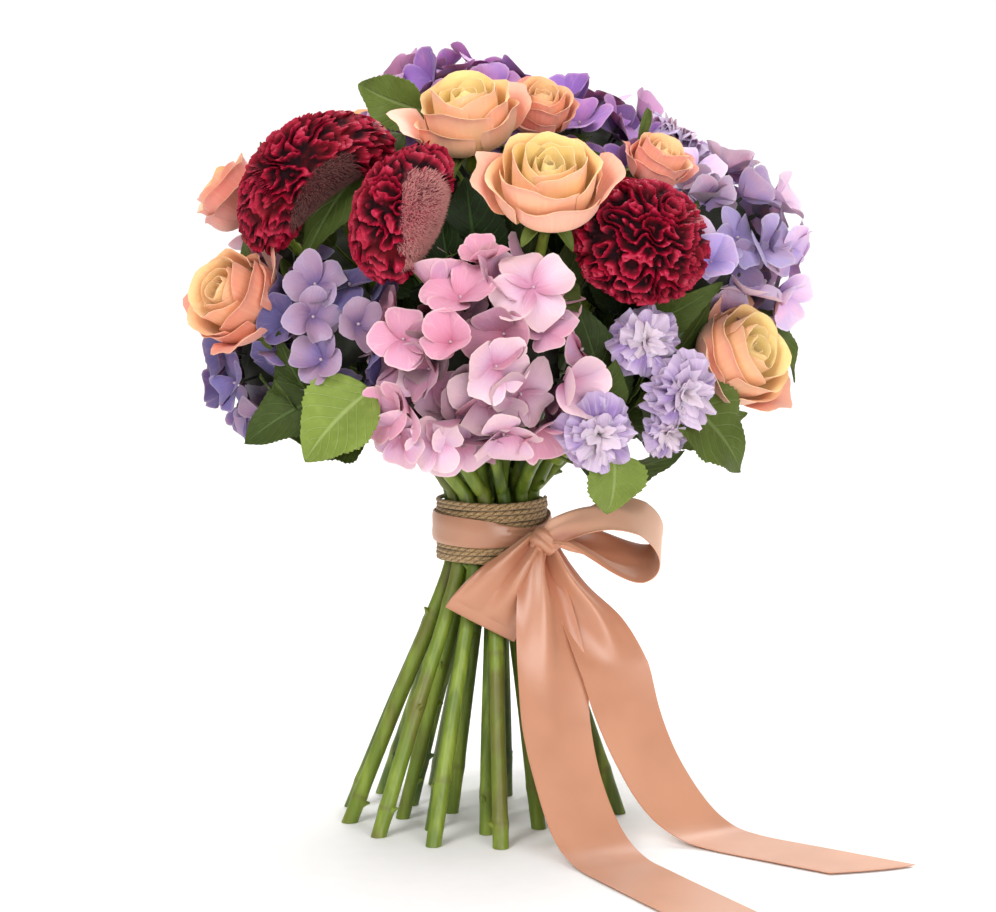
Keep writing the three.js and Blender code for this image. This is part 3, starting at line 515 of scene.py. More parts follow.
# leaves of the solids: the stem, the step that it grows from, where the blade starts if its stalk
# bends so that it shows its face, tip, width, how light its green is
LEAVES = [
    ("rose_top", 26, (-32, -30, 357), (-66, -16, 370), 28, 0.7),
    ("rose_left", 25, None, (-121, -50, 297), 18, 0.4),
    ("hydrangea_left", 10, (-70, -74, 226), (-118, -78, 200), 34, 0.2),
    ("hydrangea_front_left", 16, (-56, -97, 227), (-89, -98, 194), 44, 1.0),
    ("rose_left", 14, None, (-112, -82, 226), 22, 0.25),
    ("rose_right", 16, (86, -90, 224), (122, -74, 186), 44, 0.45),
    ("rose_right", 20, (127, -27, 262), (150, -36, 226), 30, 0.5),
    ("carnation_low", 14, (57, -104, 198), (55, -98, 168), 34, 0.9),
    ("cockscomb_right", 19, None, (108, -84, 274), 24, 0.3),
    ("rose_front", 13, None, (54, -76, 336), 16, 0.4),
    ("spray_rose_top", 17, None, (78, -40, 356), 20, 0.45),
    ("carnation_right", 18, None, (76, -94, 196), 24, 0.35),
    ("hydrangea_left", 14, None, (-104, -30, 196), 30, 0.4),
    ("rose_back_right", 22, None, (148, 22, 282), 30, 0.35),
    ("hydrangea_back_right", 15, None, (118, 62, 204), 32, 0.5),
    ("hydrangea_back_right", 15, None, (38, 132, 196), 32, 0.4),
    ("carnation_back", 22, None, (-40, 146, 238), 28, 0.35),
    ("hydrangea_back_left", 15, None, (-72, 110, 200), 32, 0.6),
    ("hydrangea_back_left", 16, None, (-146, 32, 240), 30, 0.4),
    ("cockscomb_back", 20, None, (-22, 122, 322), 24, 0.35),
    ("rose_back_right", 25, None, (72, 62, 348), 24, 0.4),
    ("rose_upper_left", 24, None, (-108, 34, 334), 26, 0.4),
    ("hydrangea_right", 14, None, (118, -8, 190), 30, 0.4),
]
# leaves that the solids leave out, with the same columns; most are painted nearly black, as painted
# shade in the gaps between the blooms
EXTRA_LEAVES = [
    ("cockscomb_left", 24, (-42, -58, 346), (-92, -77, 287), 36, 0.28),
    ("rose_top", 22, (-8, -60, 284), (-32, -76, 332), 32, 0.04),
    ("rose_front", 22, (22, -70, 268), (-2, -86, 318), 32, 0.06),
    ("rose_top", 18, (12, -50, 280), (6, -70, 338), 32, 0.03),
    ("spray_rose_right", 22, (62, -58, 260), (48, -74, 310), 32, 0.05),
    ("carnation_low", 20, (54, -80, 212), (40, -96, 268), 32, 0.12),
    ("hydrangea_front_left", 20, (-76, -70, 212), (-102, -82, 252), 26, 0.2),
    ("hydrangea_top_right", 22, (30, -30, 270), (28, -58, 330), 34, 0.03),
    ("rose_top", 20, (-6, -84, 284), (-12, -92, 326), 34, 0.02),
    ("rose_top", 21, (-16, -92, 272), (-24, -98, 308), 26, 0.02),
]
# one more leaf of the solids behind most blooms: the step on the stem that it grows from, and the
# way that it points round its bloom, in degrees
FILLERS = {
    "rose_top": (24, 20), "spray_rose_top": (24, -50), "spray_rose_right": (24, 270),
    "rose_left": (12, -50), "rose_right": (22, 20), "rose_upper_left": (24, 20),
    "rose_back_left": (20, 20), "rose_back_right": (22, 200), "cockscomb_left": (22, 160),
    "cockscomb_middle": (24, -20), "cockscomb_right": (18, 20), "cockscomb_back": (24, -20),
    "hydrangea_pink": (16, 200), "hydrangea_front_left": (24, -50), "hydrangea_left": (6, 160),
    "hydrangea_top": (14, 160), "hydrangea_top_right": (24, -20), "hydrangea_right": (14, -20),
    "hydrangea_back_right": (24, -20), "hydrangea_back_left": (20, 20),
    "carnation_right": (14, 20), "carnation_right_2": (20, -20), "carnation_low": (14, -20),
    "carnation_high": (8, 20), "carnation_back": (24, 20),
}
# such leaves that would cover a bloom, and where their tips are instead
TURNED = {"rose_top": (50, -68, 338), "cockscomb_middle": (-22, -106, 290)}


def taken(shape):
    """The points and faces of a shape, which is then removed."""
    points = np.array([v.co for v in shape.data.vertices])
    faces = [tuple(p.vertices) for p in shape.data.polygons]
    bpy.data.objects.remove(shape)
    return points, faces


def blank(columns, rows):
    """A flat sheet, with thickness, to press petals and leaves from: across, along and side."""
    bpy.ops.object.select_all(action="DESELECT")
    bpy.ops.mesh.primitive_grid_add(x_subdivisions=columns, y_subdivisions=rows, size=2)
    sheet = bpy.context.object
    wall = sheet.modifiers.new("wall", "SOLIDIFY")
    wall.thickness = 2
    wall.offset = 0
    bpy.ops.object.modifier_apply(modifier="wall")
    points, faces = taken(sheet)
    points[:, 1] = (points[:, 1] + 1) / 2
    return points, faces


def leaf_frame(root, tip, up):
    along = unit(tip - root)
    side = unit(np.cross(along, up))
    return along, side, np.cross(side, along), np.linalg.norm(tip - root)


leaf_blank = blank(10, 46)
inner_blank = blank(4, 11)
leaf_green = Finish("leaf_green", roughness=0.55, specular_ior_level=0.15)
across, along, layer, _ = leaf_green.tone()
out_from_rib = abs(across * 2 - 1)
vein_at = along * SIDE_VEINS - out_from_rib * VEIN_SLANT
vein_line = 1 - abs(vein_at.maths("FRACT", vein_at) - 0.5).within(0.02, 0.1)
rib_line = 1 - out_from_rib.within(0.02, 0.09)
lines = vein_line.maths("MAXIMUM", vein_line * 0.7, rib_line)
cells = leaf_green.speckle(260, detail=4)
patches = leaf_green.speckle(40)
# A leaf's lightness is its own green; on the leaves inside the bunch and most extra ones it is
# painted shade.
leaf_green.paint(leaf_green.blend(layer, "11200a", "76883a"),
                 (patches.within(0.35, 0.7) * 0.6, leaf_green.blend(layer, "0a1506", "5f702c")),
                 (cells.within(0.45, 0.75) * 0.35, leaf_green.blend(layer, "1e3a14", "8a9850")),
                 (lines * 0.45, leaf_green.blend(layer, "3a5628", "a0ae6e")))
leaf_green.bump(cells * 0.3 - lines, 0.0006, 0.7)


def grow_leaf(growth, root, tip, width, light, draw, base=None, cut=leaf_blank):
    """A leaf from its stem to its tip. With a base, its blade starts there and faces outwards."""
    start = BLADE_FROM if base is None else 0.0
    foot = root if base is None else base
    up = (root + tip) / 2 - HEART if base is None else tip * [1, 1, 0] + [0, -30, 0]
    along, side, face, length = leaf_frame(foot, tip, unit(up))
    teeth = int(length * TEETH_PER_MM)
    droop, twist = draw.uniform(0.02, 0.09), draw.uniform(-0.25, 0.25)
    wave, phase = draw.uniform(0.015, 0.035), draw.uniform(0, 6)
    blade = length * (1 - start)

    def surface(u, v):
        t = start + (1 - start) * v
        shape = np.sin(np.pi * np.clip(v, 0, 1) ** 0.72) ** 0.82 * (1 - 0.12 * v)
        saw = (v * teeth) % 1
        half = width / 2 * 1.05 * (shape + 0.004) * (1 - 0.09 * saw * np.abs(u) ** 3)
        slope = np.abs(u)
        rise = 4 * LEAF_ARCH * length * t * (1 - t) - droop * length * v**2
        quilt = 2 * np.pi * (SIDE_VEINS * v - VEIN_SLANT * slope)
        quilt = 0.45 * np.sin(quilt) * np.sin(np.pi * slope)
        rise = rise + slope**1.2 * half * (LEAF_FOLD + twist * np.sign(u) * v) + quilt * shape
        rise = rise + wave * blade * np.sin(5 * np.pi * v + phase + 1.3 * np.sign(u)) * u**2
        return foot + np.stack([t * length, u * half, rise], axis=1) @ [along, side, face]

    growth.press(cut, surface, LEAF_THICK, light, draw.random(), 2)
    reach = np.linspace(0, start + 0.25 * (1 - start), 8)
    rise = 4 * LEAF_ARCH * length * reach * (1 - reach) - 0.5
    stalk = foot + along * (reach * length)[:, None] + face * rise[:, None]
    if base is not None:
        lead = spline([root, root * 0.45 + base * 0.55 + face * 3, base], np.linspace(0, 0.95, 9))
        stalk = np.vstack([lead, stalk])
    growth.add_bar(stalk, np.linspace(1.2, 0.5, len(stalk)), 6, (0, 0, 0, light))


def grow_leaves(growth, name, leaves, draw):
    """The leaves of a table that grow on one bloom's stem."""
    for stem, step, base, tip, width, light in leaves:
        if stem == name:
            base = None if base is None else np.array(base, float)
            grow_leaf(growth, ROUTE_OF[name][step], np.array(tip, float), width, light, draw, base)


def grow_filler(growth, name, draw):
    """The leaf behind a bloom, which points away from the bloom's middle."""
    step, turn = FILLERS[name]
    out = unit(centre_of(name) * [1, 1, 0])
    side = np.array([-out[1], out[0], 0])
    behind = centre_of(name) - facing_of(name) * FILLER_BEHIND
    turn = math.radians(turn)
    tip = behind + FILLER_REACH * (side * math.cos(turn) + [0, 0, math.sin(turn)])
    tip = np.array(TURNED.get(name, tip), float)
    light = draw.uniform(*FILLER_LIGHT)
    grow_leaf(growth, ROUTE_OF[name][step], tip, FILLER_WIDTH, light, draw)


def grow_inner_leaves(growth, name, draw):
    """Leaves in the shade between the stems, short of the blooms and inside their dome."""
    centres = np.array([bloom[0] for bloom in BLOOMS.values()], float)
    room = np.array([bloom[2] for bloom in BLOOMS.values()])
    grown = 0
    for _ in range(INNER_TRIES):
        root = ROUTE_OF[name][draw.randint(*INNER_STEPS)]
        out = unit(root * [1, 1, 0] + [draw.gauss(0, 12), draw.gauss(0, 12), 0.1])
        tip = root + unit(out + [0, 0, draw.uniform(-0.1, 1.2)]) * draw.uniform(*INNER_LENGTH)
        middle = (root + tip) / 2
        clear = all((np.linalg.norm(centres - p, axis=1) > room).all() for p in (tip, middle))
        reach = np.linalg.norm(tip - HEART)
        if clear and reach < INNER_EDGE:
            # Painted shade: nearly black, turning lighter only towards the outside of the bunch.
            width, light = draw.uniform(*INNER_WIDTH), draw.uniform(0, 0.12)
            light += max(0, reach - INNER_DARK) / 90
            grow_leaf(growth, root, tip, width, light, draw, cut=inner_blank)
            grown += 1
        if grown == INNER_LEAVES:
            break


# The sepals: the green collar under each rose, a swollen hip and five pointed blades that spread
# or bend back from the foot of the flower. They are one piece with the rose's stem.
SEPALS, SEPAL_THICK = 5, 0.6
sepal_blank = blank(4, 8)
# how large each collar is, which is about the radius of its rose
SEPALED = {"rose_front": 26, "rose_top": 26, "spray_rose_top": 17, "spray_rose_right": 16,
           "rose_left": 25, "rose_right": 23, "rose_upper_left": 20, "rose_back_left": 25,
           "rose_back_right": 25}


def swing(ahead, aside, up, angle):
    """Points given in a petal's own frame, swung round its bloom's axis."""
    c, s = np.cos(angle), np.sin(angle)
    return np.stack([ahead * c - aside * s, ahead * s + aside * c, up], axis=1)


def turn_from_up(way):
    """The turn that takes the Z axis to a direction."""
    return np.array(Vector((0, 0, 1)).rotation_difference(Vector(way)).to_matrix())


def turn_to(name, lift=0.0):
    """The turn from a bloom's own frame, with Z out of its face, to the bouquet's."""
    facing = Vector(facing_of(name))
    lift_share = lift / math.degrees(facing.angle((0, 0, 1)))
    return turn_from_up(facing.slerp(Vector((0, 0, 1)), lift_share))


def grow_sepals(growth, name, draw):
    radius, turn, foot = SEPALED[name], turn_to(name), foot_of(name)
    hip = [np.array([0, 0, z * radius]) for z in (-0.42, -0.34, -0.2, -0.08, 0.02)]
    radii = np.array([0.1, 0.17, 0.22, 0.19, 0.24]) * radius
    growth.add_bar(hip, radii, 12, (0, 0, 0, 0.6), 0, turn, foot)
    for k in range(SEPALS):
        azimuth, bend = math.radians(360 / SEPALS * k + 20), draw.uniform(0.1, 0.5)

        def surface(u, v):
            reach = radius * (0.2 + 0.62 * v - 0.1 * bend * v**2)
            rise = radius * (0.02 + 0.2 * v - (0.05 + bend) * v**2.2)
            half = radius * 0.15 * (1 - v) ** 0.7 * (0.75 + v) + 0.3
            return swing(reach, u * half, rise + 0.5 * half * u**2, azimuth)

        growth.press(sepal_blank, surface, SEPAL_THICK, 0.6, draw.random(), 2, turn, foot)


# Every stem is one piece with its leaves. The two carnations on one stem share their piece.
stems = {}
for order, name in enumerate(BLOOMS):
    draw = random.Random(100 + order)
    growth = stems.setdefault(BRANCHES.get(name, name), Growth())
    grow_stem(growth, name, draw)
    grow_leaves(growth, name, LEAVES, draw)
    if name in FILLERS:
        grow_filler(growth, name, draw)
    grow_leaves(growth, name, EXTRA_LEAVES, draw)
    if name in SEPALED:
        grow_sepals(growth, name, draw)
    grow_inner_leaves(growth, name, draw)
for stem, growth in stems.items():
    piece = growth.make(f"{stem}_stem_and_leaves", stem_skin, cut_end, leaf_green)
    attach(piece, "root")
    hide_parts(f"{stem}_stem")


# The roses: garden roses with a tight creamy heart in a cup of broad petals. Each round opens
# wider and rolls its rims back, and the outermost petals lie out flat and pink.

# petals, rim radius, rim height, belly radius, half the angle that a petal wraps, roll of the rim
ROSE_ROUNDS = [
    (3, 0.09, 0.58, 0.17, 2.3, 0.0),
    (3, 0.22, 0.66, 0.32, 1.8, 0.0),
    (3, 0.39, 0.72, 0.48, 1.45, 0.05),
    (3, 0.58, 0.79, 0.64, 1.25, 0.14),
    (3, 0.78, 0.64, 0.8, 1.15, 0.24),
    (3, 0.86, 0.36, 0.9, 0.95, 0.26),
]
OUTERMOST = (1.3, 0.36, 0.96, 0.62, 0.16)
ROSE_FOOT = 0.5  # share of its radius from a rose's centre to the point that its face turns on
PETAL_THICK, RIM_THINNER = 0.5, 0.3
# heart, middle, rim
PEACH = ("fae09a", "f6c483", "eeac94")
APRICOT = ("f7cb90", "efae80", "e2937e")
CORAL = ("f6cb95", "eda583", "df8d80")
# radius, degrees that its face is lifted past its stem, azimuths of the outermost petals, colours
ROSES = {
    "rose_front": (27.5, 12, (8, 168), PEACH),
    "rose_top": (25.5, -4, (40, 185), PEACH),
    "spray_rose_top": (17, -4, (100, 230), CORAL),
    "spray_rose_right": (16, 4, (40, 200), CORAL),
    "rose_left": (24.5, 22, (10, 130, 250), APRICOT),
    "rose_right": (26, 12, (0, 120, 240), PEACH),
    "rose_upper_left": (21, 16, (90, 270), CORAL),
    "rose_back_left": (25, 14, (30, 150, 270), PEACH),
    "rose_back_right": (25, 14, (60, 180, 300), CORAL),
}
petal_blank = blank(12, 10)


def petal_finish(name, heart, middle, rim):
    """Creamy inside, and pinker outside and towards the rim. Outer faces add 2 to their layer."""
    finish = Finish(name, roughness=0.5, specular_ior_level=0.3, sheen_weight=0.15,
                    subsurface_weight=0.12, subsurface_scale=0.004)
    across, along, layer, chance = finish.tone()
    outside = layer.within(1.5, 1.6)
    layer = layer - outside * 2
    clouds = finish.speckle(60)
    veins = finish.lines(across * 26, along * 1.5)
    edge = (layer * 0.7 + along * 0.5 + clouds * 0.4 + chance * 0.15 - 0.3).within(0.4, 1.05)
    inner = finish.coated(heart, (layer.within(0.35, 1.1), middle),
                          (edge * layer.within(0.55, 1.15), rim),
                          ((1 - along.within(0.0, 0.7)) * 0.55, "f0b450"))
    outer = finish.coated(heart, (layer.within(0.0, 0.7), middle), (edge, rim))
    # A pale band along the very rim: partly the petal's paler rim, partly painted highlight.
    finish.paint(inner, (outside, outer), (along.within(0.9, 1.0) * 0.15, "f3c3ab"),
                 (veins.within(0.5, 0.8) * 0.15, "fbe3c0"))
    finish.bump(veins, 0.0003, 0.35)
    return finish


rose_finishes = {PEACH: petal_finish("rose_petal_peach", *PEACH),
                 APRICOT: petal_finish("rose_petal_apricot", *APRICOT),
                 CORAL: petal_finish("rose_petal_coral", *CORAL)}


def rose_petal(size, turn, rim, height, belly, wrap, roll, draw):
    """A petal that rises from the foot of the rose, round its axis, to a rolled rim."""
    lean, notch = draw.uniform(-0.09, 0.09), draw.uniform(-0.35, 0.35)
    phase, beat = draw.uniform(0, 6), draw.uniform(3.5, 7)

    def surface(u, v):
        peak = 0.045 * np.exp(-(((u - notch) / 0.2) ** 2))
        t = v * (0.97 - 0.2 * np.abs(u) ** 2.6 + peak)
        s = 1 - t
        r = 0.08 * s**3 + 3.3 * belly * t * s**2 + 3 * belly * t**2 * s + rim * t**3
        z = -0.58 * s**3 - 1.5 * t * s**2 + 3 * (height - 0.32) * t**2 * s + height * t**3
        curl = np.clip((t - 0.72) / 0.28, 0, 1) ** 2 * (0.6 + 0.9 * np.abs(u) ** 2) * roll
        r = r + 0.75 * curl + (0.03 + lean) * rim * u
        z = z - 0.6 * curl + 0.035 * np.sin(beat * u + phase) * t**3
        r = r + 0.05 * rim * np.sin(beat * 1.3 * u - phase) * t**3
        spread = wrap * (0.3 + 0.7 * np.sin(np.clip(t / 0.6, 0, 1) * np.pi / 2))
        return size * swing(r, 0, z, turn + spread * u)

    return surface


for order, (name, (size, lift, outer, tints)) in enumerate(ROSES.items()):
    draw = random.Random(200 + order)
    turn = turn_to(name, lift)
    at = centre_of(name) - facing_of(name) * ROSE_FOOT * size + turn @ [0, 0, ROSE_FOOT * size]
    growth = Growth()
    u, v, side = petal_blank[0].T
    rim_ward = np.clip(np.maximum(np.abs(u), v) * 6 - 5, 0, 1)
    thickness = PETAL_THICK - RIM_THINNER * rim_ward
    plan = []
    for i, (petals, *shape) in enumerate(ROSE_ROUNDS):
        start = draw.uniform(0, 360)
        plan += [(start + 360 * k / petals + draw.uniform(-14, 14), shape, i / len(ROSE_ROUNDS))
                 for k in range(petals)]
    plan += [(azimuth, OUTERMOST, 1.1) for azimuth in outer]
    for azimuth, (rim, height, belly, wrap, roll), layer in plan:
        rim, height = rim * draw.uniform(0.93, 1.07), height + draw.uniform(-0.06, 0.06)
        petal = rose_petal(size, math.radians(azimuth), rim, height, belly, wrap, roll, draw)
        layers = layer + 2.0 * (side > 0)
        growth.press(petal_blank, petal, thickness, layers, draw.random(), 0, turn, at)
    piece = growth.make(f"{name}_petals", rose_finishes[tints])
    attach(piece, "root")
    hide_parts(name)


# The cockscombs: one velvety crest each, bent over its stalk and folded like a brain, in small
# ruffled cups. The lips catch the light on their coat and are painted pink at their tops as painted
# highlight, the furrows are painted near black as painted shade, and the flank below the crest is
# bare and bristly.
CREST_FINE = 7
FOLD_SIZE, FOLD_HIGH, CREST_SINK, LUMP_HIGH, BARE_SINK = 15, 4.4, 3.0, 1.6, 1.8
BRISTLE_LONG = (1.8, 3.4)
# the way the crest runs, half length, half width, half height, radius that it bends over
CRESTS = {
    "cockscomb_left": ((0.8, -0.1, 0.6), 47, 22, 19, 44),
    "cockscomb_middle": ((0.4, 0, 0.9), 34, 21, 21, 44),
    "cockscomb_right": ((0.9, 0.4, -0.1), 34, 29, 22, 120),
    "cockscomb_back": ((1, 0, 0), 36, 24, 22, 70),
}
# the bare flank under each: the way that it looks, how squarely its edge still looks that way, its
# middle and half its length along the crest, how light it is (partly its own colour, partly painted
# shade where it lies under the folds), its bristles
FLANKS = {
    "cockscomb_left": ((0.75, -0.25, -0.6), 0.55, 0, 36, 0.12, 2000),
    "cockscomb_middle": ((0.92, -0.4, -0.1), 0.42, -5, 35, 1.0, 4200),
    "cockscomb_right": ((0.1, 0.5, -0.9), 0.75, 0, 40, 0.2, 200),
    "cockscomb_back": ((0.0, -0.2, -1.0), 0.6, 0, 40, 0.3, 400),
}
velvet = Finish("crest_velvet", specular_ior_level=0.15, coat_roughness=0.35, coat_tint="ff9fb8")
across, along, layer, chance = velvet.tone()
fine = velvet.speckle(900, detail=5)
broad = velvet.speckle(70)
strands = fine.within(0.35, 0.65)
pale_fuzz = velvet.coated("5a1d28", (strands, "a04e58"), (broad.within(0.42, 0.66) * 0.7, "4c1a22"))
# The flank's lightness picks between dark and pale fuzz: partly its own colour, partly painted
# shade.
fuzz = velvet.coated("20100f", (strands, "43231f"), (chance, pale_fuzz),
                     (across * (chance * 0.85 + 0.15), "e2a59e"))
# Painted shade: near black in the furrows; painted highlight: pink on the tops of the lips.
velvet.paint("180106", (layer.within(0.05, 0.5), "5e0418"), (layer.within(0.45, 0.85), "9a082e"),
             ((layer + fine * 0.35).within(1.0, 1.3) * 0.45, "d23a6c"),
             (broad.within(0.45, 0.7) * 0.4, "7c0212"), (along, fuzz))
velvet.give(velvet.shader.inputs["Roughness"], 0.85 - layer * (1 - along) * 0.4)
velvet.give(velvet.shader.inputs["Coat Weight"], layer.within(0.6, 1.0) * (1 - along) * 0.4)
velvet.bump(fine, 0.0006, 0.6)


def ball(subdivisions):
    """The points and faces of an even ball of radius 1."""
    bpy.ops.object.select_all(action="DESELECT")
    bpy.ops.mesh.primitive_ico_sphere_add(subdivisions=subdivisions, radius=1)
    return taken(bpy.context.object)


def fold_height(p, seed):
    """How high the crest's folds stand at a point: 0 in a furrow, and 1 on a lip."""
    q = Vector(p) / FOLD_SIZE + Vector((seed * 7.3, seed * 3.1, seed * 5.7))
    level = noise.noise(q) * 3.0 + noise.noise(q * 2.3) * 1.2 + noise.noise(q * 7.0) * 0.28
    off = abs((level + 0.5) % 1 - 0.5) * 2
    lip = math.exp(-((off / 0.42) ** 2))
    return lip * (1 + 0.35 * noise.noise(q * 3.1)) + 0.1 * noise.noise(q * 12.0)


ball_points, ball_faces = ball(CREST_FINE)
for order, (name, (run, long, wide, high, arch)) in enumerate(CRESTS.items()):
    flank, flank_from, flank_at, flank_half, light, bristles = FLANKS[name]
    draw = random.Random(300 + order)
    at = centre_of(name)
    facing = facing_of(name)
    x = unit(np.array(run) - facing * (np.array(run) @ facing))
    y = np.cross(facing, x)
    axes = np.array([x, y, facing])

    def crest(s):
        """The smooth crest under the folds, at points of the unit ball."""
        p = s * [long, wide, high]
        bend, out = p[:, 0] / arch, arch + p[:, 2]
        return np.stack([out * np.sin(bend), p[:, 1], out * np.cos(bend) - arch], axis=1)

    smooth = crest(ball_points)
    normal = unit(smooth - crest(ball_points * 0.97))
    bare = (normal @ axes @ unit(np.array(flank)) - flank_from) / 0.14
    bare = bare - 6 * ((ball_points[:, 0] * long - flank_at) / flank_half) ** 6
    bare = np.clip(bare + [1.1 * noise.noise(Vector(p) / 8) for p in smooth], 0, 1)
    bare = bare**2 * (3 - 2 * bare)
    lips = np.array([fold_height(p, order + 1) for p in smooth])
    lumps = np.array([noise.noise(Vector(p) / 14 + Vector((3, 9, order))) for p in smooth])
    lift = (1 - bare) * (FOLD_HIGH * lips - CREST_SINK + LUMP_HIGH * lumps) - BARE_SINK * bare
    points = (smooth + normal * lift[:, None]) @ axes + at
    growth = Growth()
    growth.add(points, ball_faces, (0, bare, np.clip(lips, 0, 1), light))
    hairy = np.flatnonzero(bare > 0.45)
    for k in draw.sample(list(hairy), min(bristles, len(hairy))):
        out = unit(normal[k] @ axes + [draw.gauss(0, 0.35) for _ in range(3)])
        aside = unit(np.cross(out, [0.3, 0.2, 1.0]))
        back = np.cross(out, aside)
        root = points[k] - out * 0.5
        hair = [root + 0.24 * aside, root - 0.12 * aside + 0.21 * back,
                root - 0.12 * aside - 0.21 * back, root + out * draw.uniform(*BRISTLE_LONG)]
        growth.add(np.array(hair), [(0, 2, 1), (0, 1, 3), (1, 2, 3), (2, 0, 3)],
                   (np.array([0.3, 0.3, 0.3, 1.0]), 1, 0, light))
    piece = growth.make(f"{name}_crest", velvet)
    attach(piece, "root")
    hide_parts(name)


# The hydrangeas: mop heads of broad four-petalled florets on thin stalks, round a heart. Heart
# and stalks are painted near black, as painted shade in the gaps between the florets.
# The petals are cupped, wavy and paler at their rims, with a bead in the middle of each floret.
DOME_SHARE, GOLDEN = 1.2, math.pi * (3 - math.sqrt(5))
# inner, main, second and rim colours, and the colour of the shade between the florets
MAUVE = ("b4506f", "d392aa", "c79cbf", "f0d2ca", "4c1c34")
BLUISH = ("3a3170", "675d98", "94708f", "b2a0b2", "18141f")
LILAC = ("8466b6", "bcabde", "e6b6d2", "f0e3ec", "3a2e50")
VIOLET = ("734694", "9067b2", "c680b4", "cfacca", "3a2248")
# dome radius, flatness, florets, their radius, colours
HYDRANGEAS = {
    "hydrangea_pink": (47, 0.85, 34, 19.5, MAUVE),
    "hydrangea_front_left": (31, 0.85, 16, 16, BLUISH),
    "hydrangea_left": (36, 0.9, 18, 17, BLUISH),
    "hydrangea_top": (39, 0.9, 22, 17.5, VIOLET),
    "hydrangea_top_right": (38, 0.9, 19, 18.5, VIOLET),
    "hydrangea_right": (41, 0.9, 22, 18.5, LILAC),
    "hydrangea_back_right": (46, 0.85, 28, 18.5, BLUISH),
    "hydrangea_back_left": (46, 0.85, 28, 18.5, MAUVE),
}
# florets that stand out of their head: centre, the way they face, radius
TALL_FLORETS = {
    "hydrangea_pink": [((19, -119, 276), (-80, 22), 21), ((-4, -108, 288), (-100, 60), 13),
                       ((-42, -102, 206), (-120, -15), 17), ((-26, -110, 204), (-100, -20), 16),
                       ((-46, -100, 216), (-130, 5), 17), ((-27, -107, 231), (-108, 6), 18)],
    "hydrangea_right": [((123, -6, 301), (-70, 12), 18)],
}
# how low the florets of the heads in front and at the left hang, over bare stems
LOWEST_FLORET = {"hydrangea_pink": 202, "hydrangea_front_left": 204, "hydrangea_left": 202}
FLORET_THICK, FLORET_DEPTHS = 0.45, [0.84, 0.92, 1.0, 1.03]
DEEP_FLORETS, DEEP_AT = 0.5, 0.74  # share of the florets that are repeated deeper, in the shade, and painted darker as painted shade
HEART_WIDE, HEART_HIGH = 0.74, 0.64  # shares of the dome that the heart of painted shade fills
STALK_TONE, STALK_STEPS = (0, 0, 0, 0.3), np.array([[0], [0.35], [0.7], [0.99]])


def round_blank(cells):
    """A round sheet, thin at its rim, to press a small petal from: across, along and side."""
    bpy.ops.object.select_all(action="DESELECT")
    bpy.ops.mesh.primitive_grid_add(x_subdivisions=cells, y_subdivisions=cells, size=2)
    points, faces = taken(bpy.context.object)
    x, y, _ = points.T
    inside = np.maximum(np.abs(x), np.abs(y)) < 0.999
    round_x, round_y = x * np.sqrt(1 - y**2 / 2), y * np.sqrt(1 - x**2 / 2)
    front = np.stack([round_x, (round_y + 1) / 2, inside], axis=1)
    back = front[inside] * [1, 1, -1]
    other = np.arange(len(front))
    other[inside] = len(front) + np.arange(len(back))
    faces += [tuple(int(other[i]) for i in reversed(face)) for face in faces]
    return np.vstack([front, back]), faces


floret_blank = round_blank(5)


def floret_finish(name, inner, main, second, rim, shade):
    finish = Finish(name, roughness=0.55, specular_ior_level=0.3, sheen_weight=0.12,
                    subsurface_weight=0.1, subsurface_scale=0.003)
    across, along, layer, chance = finish.tone()
    clouds = finish.speckle(75)
    aside, ahead = across * 2 - 1, along * 2 - 1
    fan = aside.maths("DIVIDE", aside, along + 0.3)
    veins = finish.lines(fan * 9, along * 2)
    border = (aside * aside + ahead * ahead).within(0.72, 1.0) * along.within(0.1, 0.4)
    # Last coat, painted shade: the lower a floret's layer, the more it takes the shade colour.
    finish.paint(main, ((chance * 0.5 + clouds * 0.9).within(0.5, 1.0), second),
                 ((chance * 0.7 + along * 0.5).within(0.6, 1.2) * 0.55, rim), (border * 0.5, rim),
                 ((1 - along.within(0.0, 0.55)) * 0.6, inner),
                 (veins.within(0.55, 0.8) * 0.2, rim), ((1 - layer) * 0.85, shade))
    finish.bump(veins, 0.0004, 0.5)
    return finish


floret_finishes = {MAUVE: floret_finish("floret_mauve", *MAUVE),
                   BLUISH: floret_finish("floret_bluish", *BLUISH),
                   LILAC: floret_finish("floret_lilac", *LILAC),
                   VIOLET: floret_finish("floret_violet", *VIOLET)}
bead = Finish("floret_bead", roughness=0.4)
bead.paint("cdb9c4", (bead.speckle(800), "a9949c"))
shade_heart = Finish("hydrangea_shade_heart", roughness=0.8)
shade_heart.paint("241a26", (shade_heart.speckle(200), "323f20"))


def floret_petal(size, turn, cup, draw):
    """One broad petal of a floret, at azimuth turn in the floret's own frame."""
    long, half = size * draw.uniform(0.9, 1.04), size * draw.uniform(0.5, 0.62)
    raised = cup + draw.uniform(-0.25, 0.3)
    dish, roll = draw.uniform(-0.05, 0.32), draw.uniform(-0.05, 0.3)
    wave, beat, phase = draw.uniform(0.02, 0.07), draw.uniform(3, 5), draw.uniform(0, 6)
    skew, crease = draw.uniform(-0.2, 0.2), draw.uniform(0.0, 0.12)
    stand = math.cos(math.atan(0.8 * raised))

    def surface(u, v):
        t = np.clip(v, 0, 1)
        r = long * t * stand * (1 - 0.06 * np.cos(beat * u + phase) * t)
        aside = half * u * (0.7 + 0.42 * t)
        rise = size * (raised * stand * t**1.3 + dish * u**2 - roll * t**4 + skew * u * t)
        rise = rise + size * (wave * np.sin(beat * u + phase) * t**2 + crease * np.abs(u) * t)
        return swing(r, aside, rise, turn)

    return surface


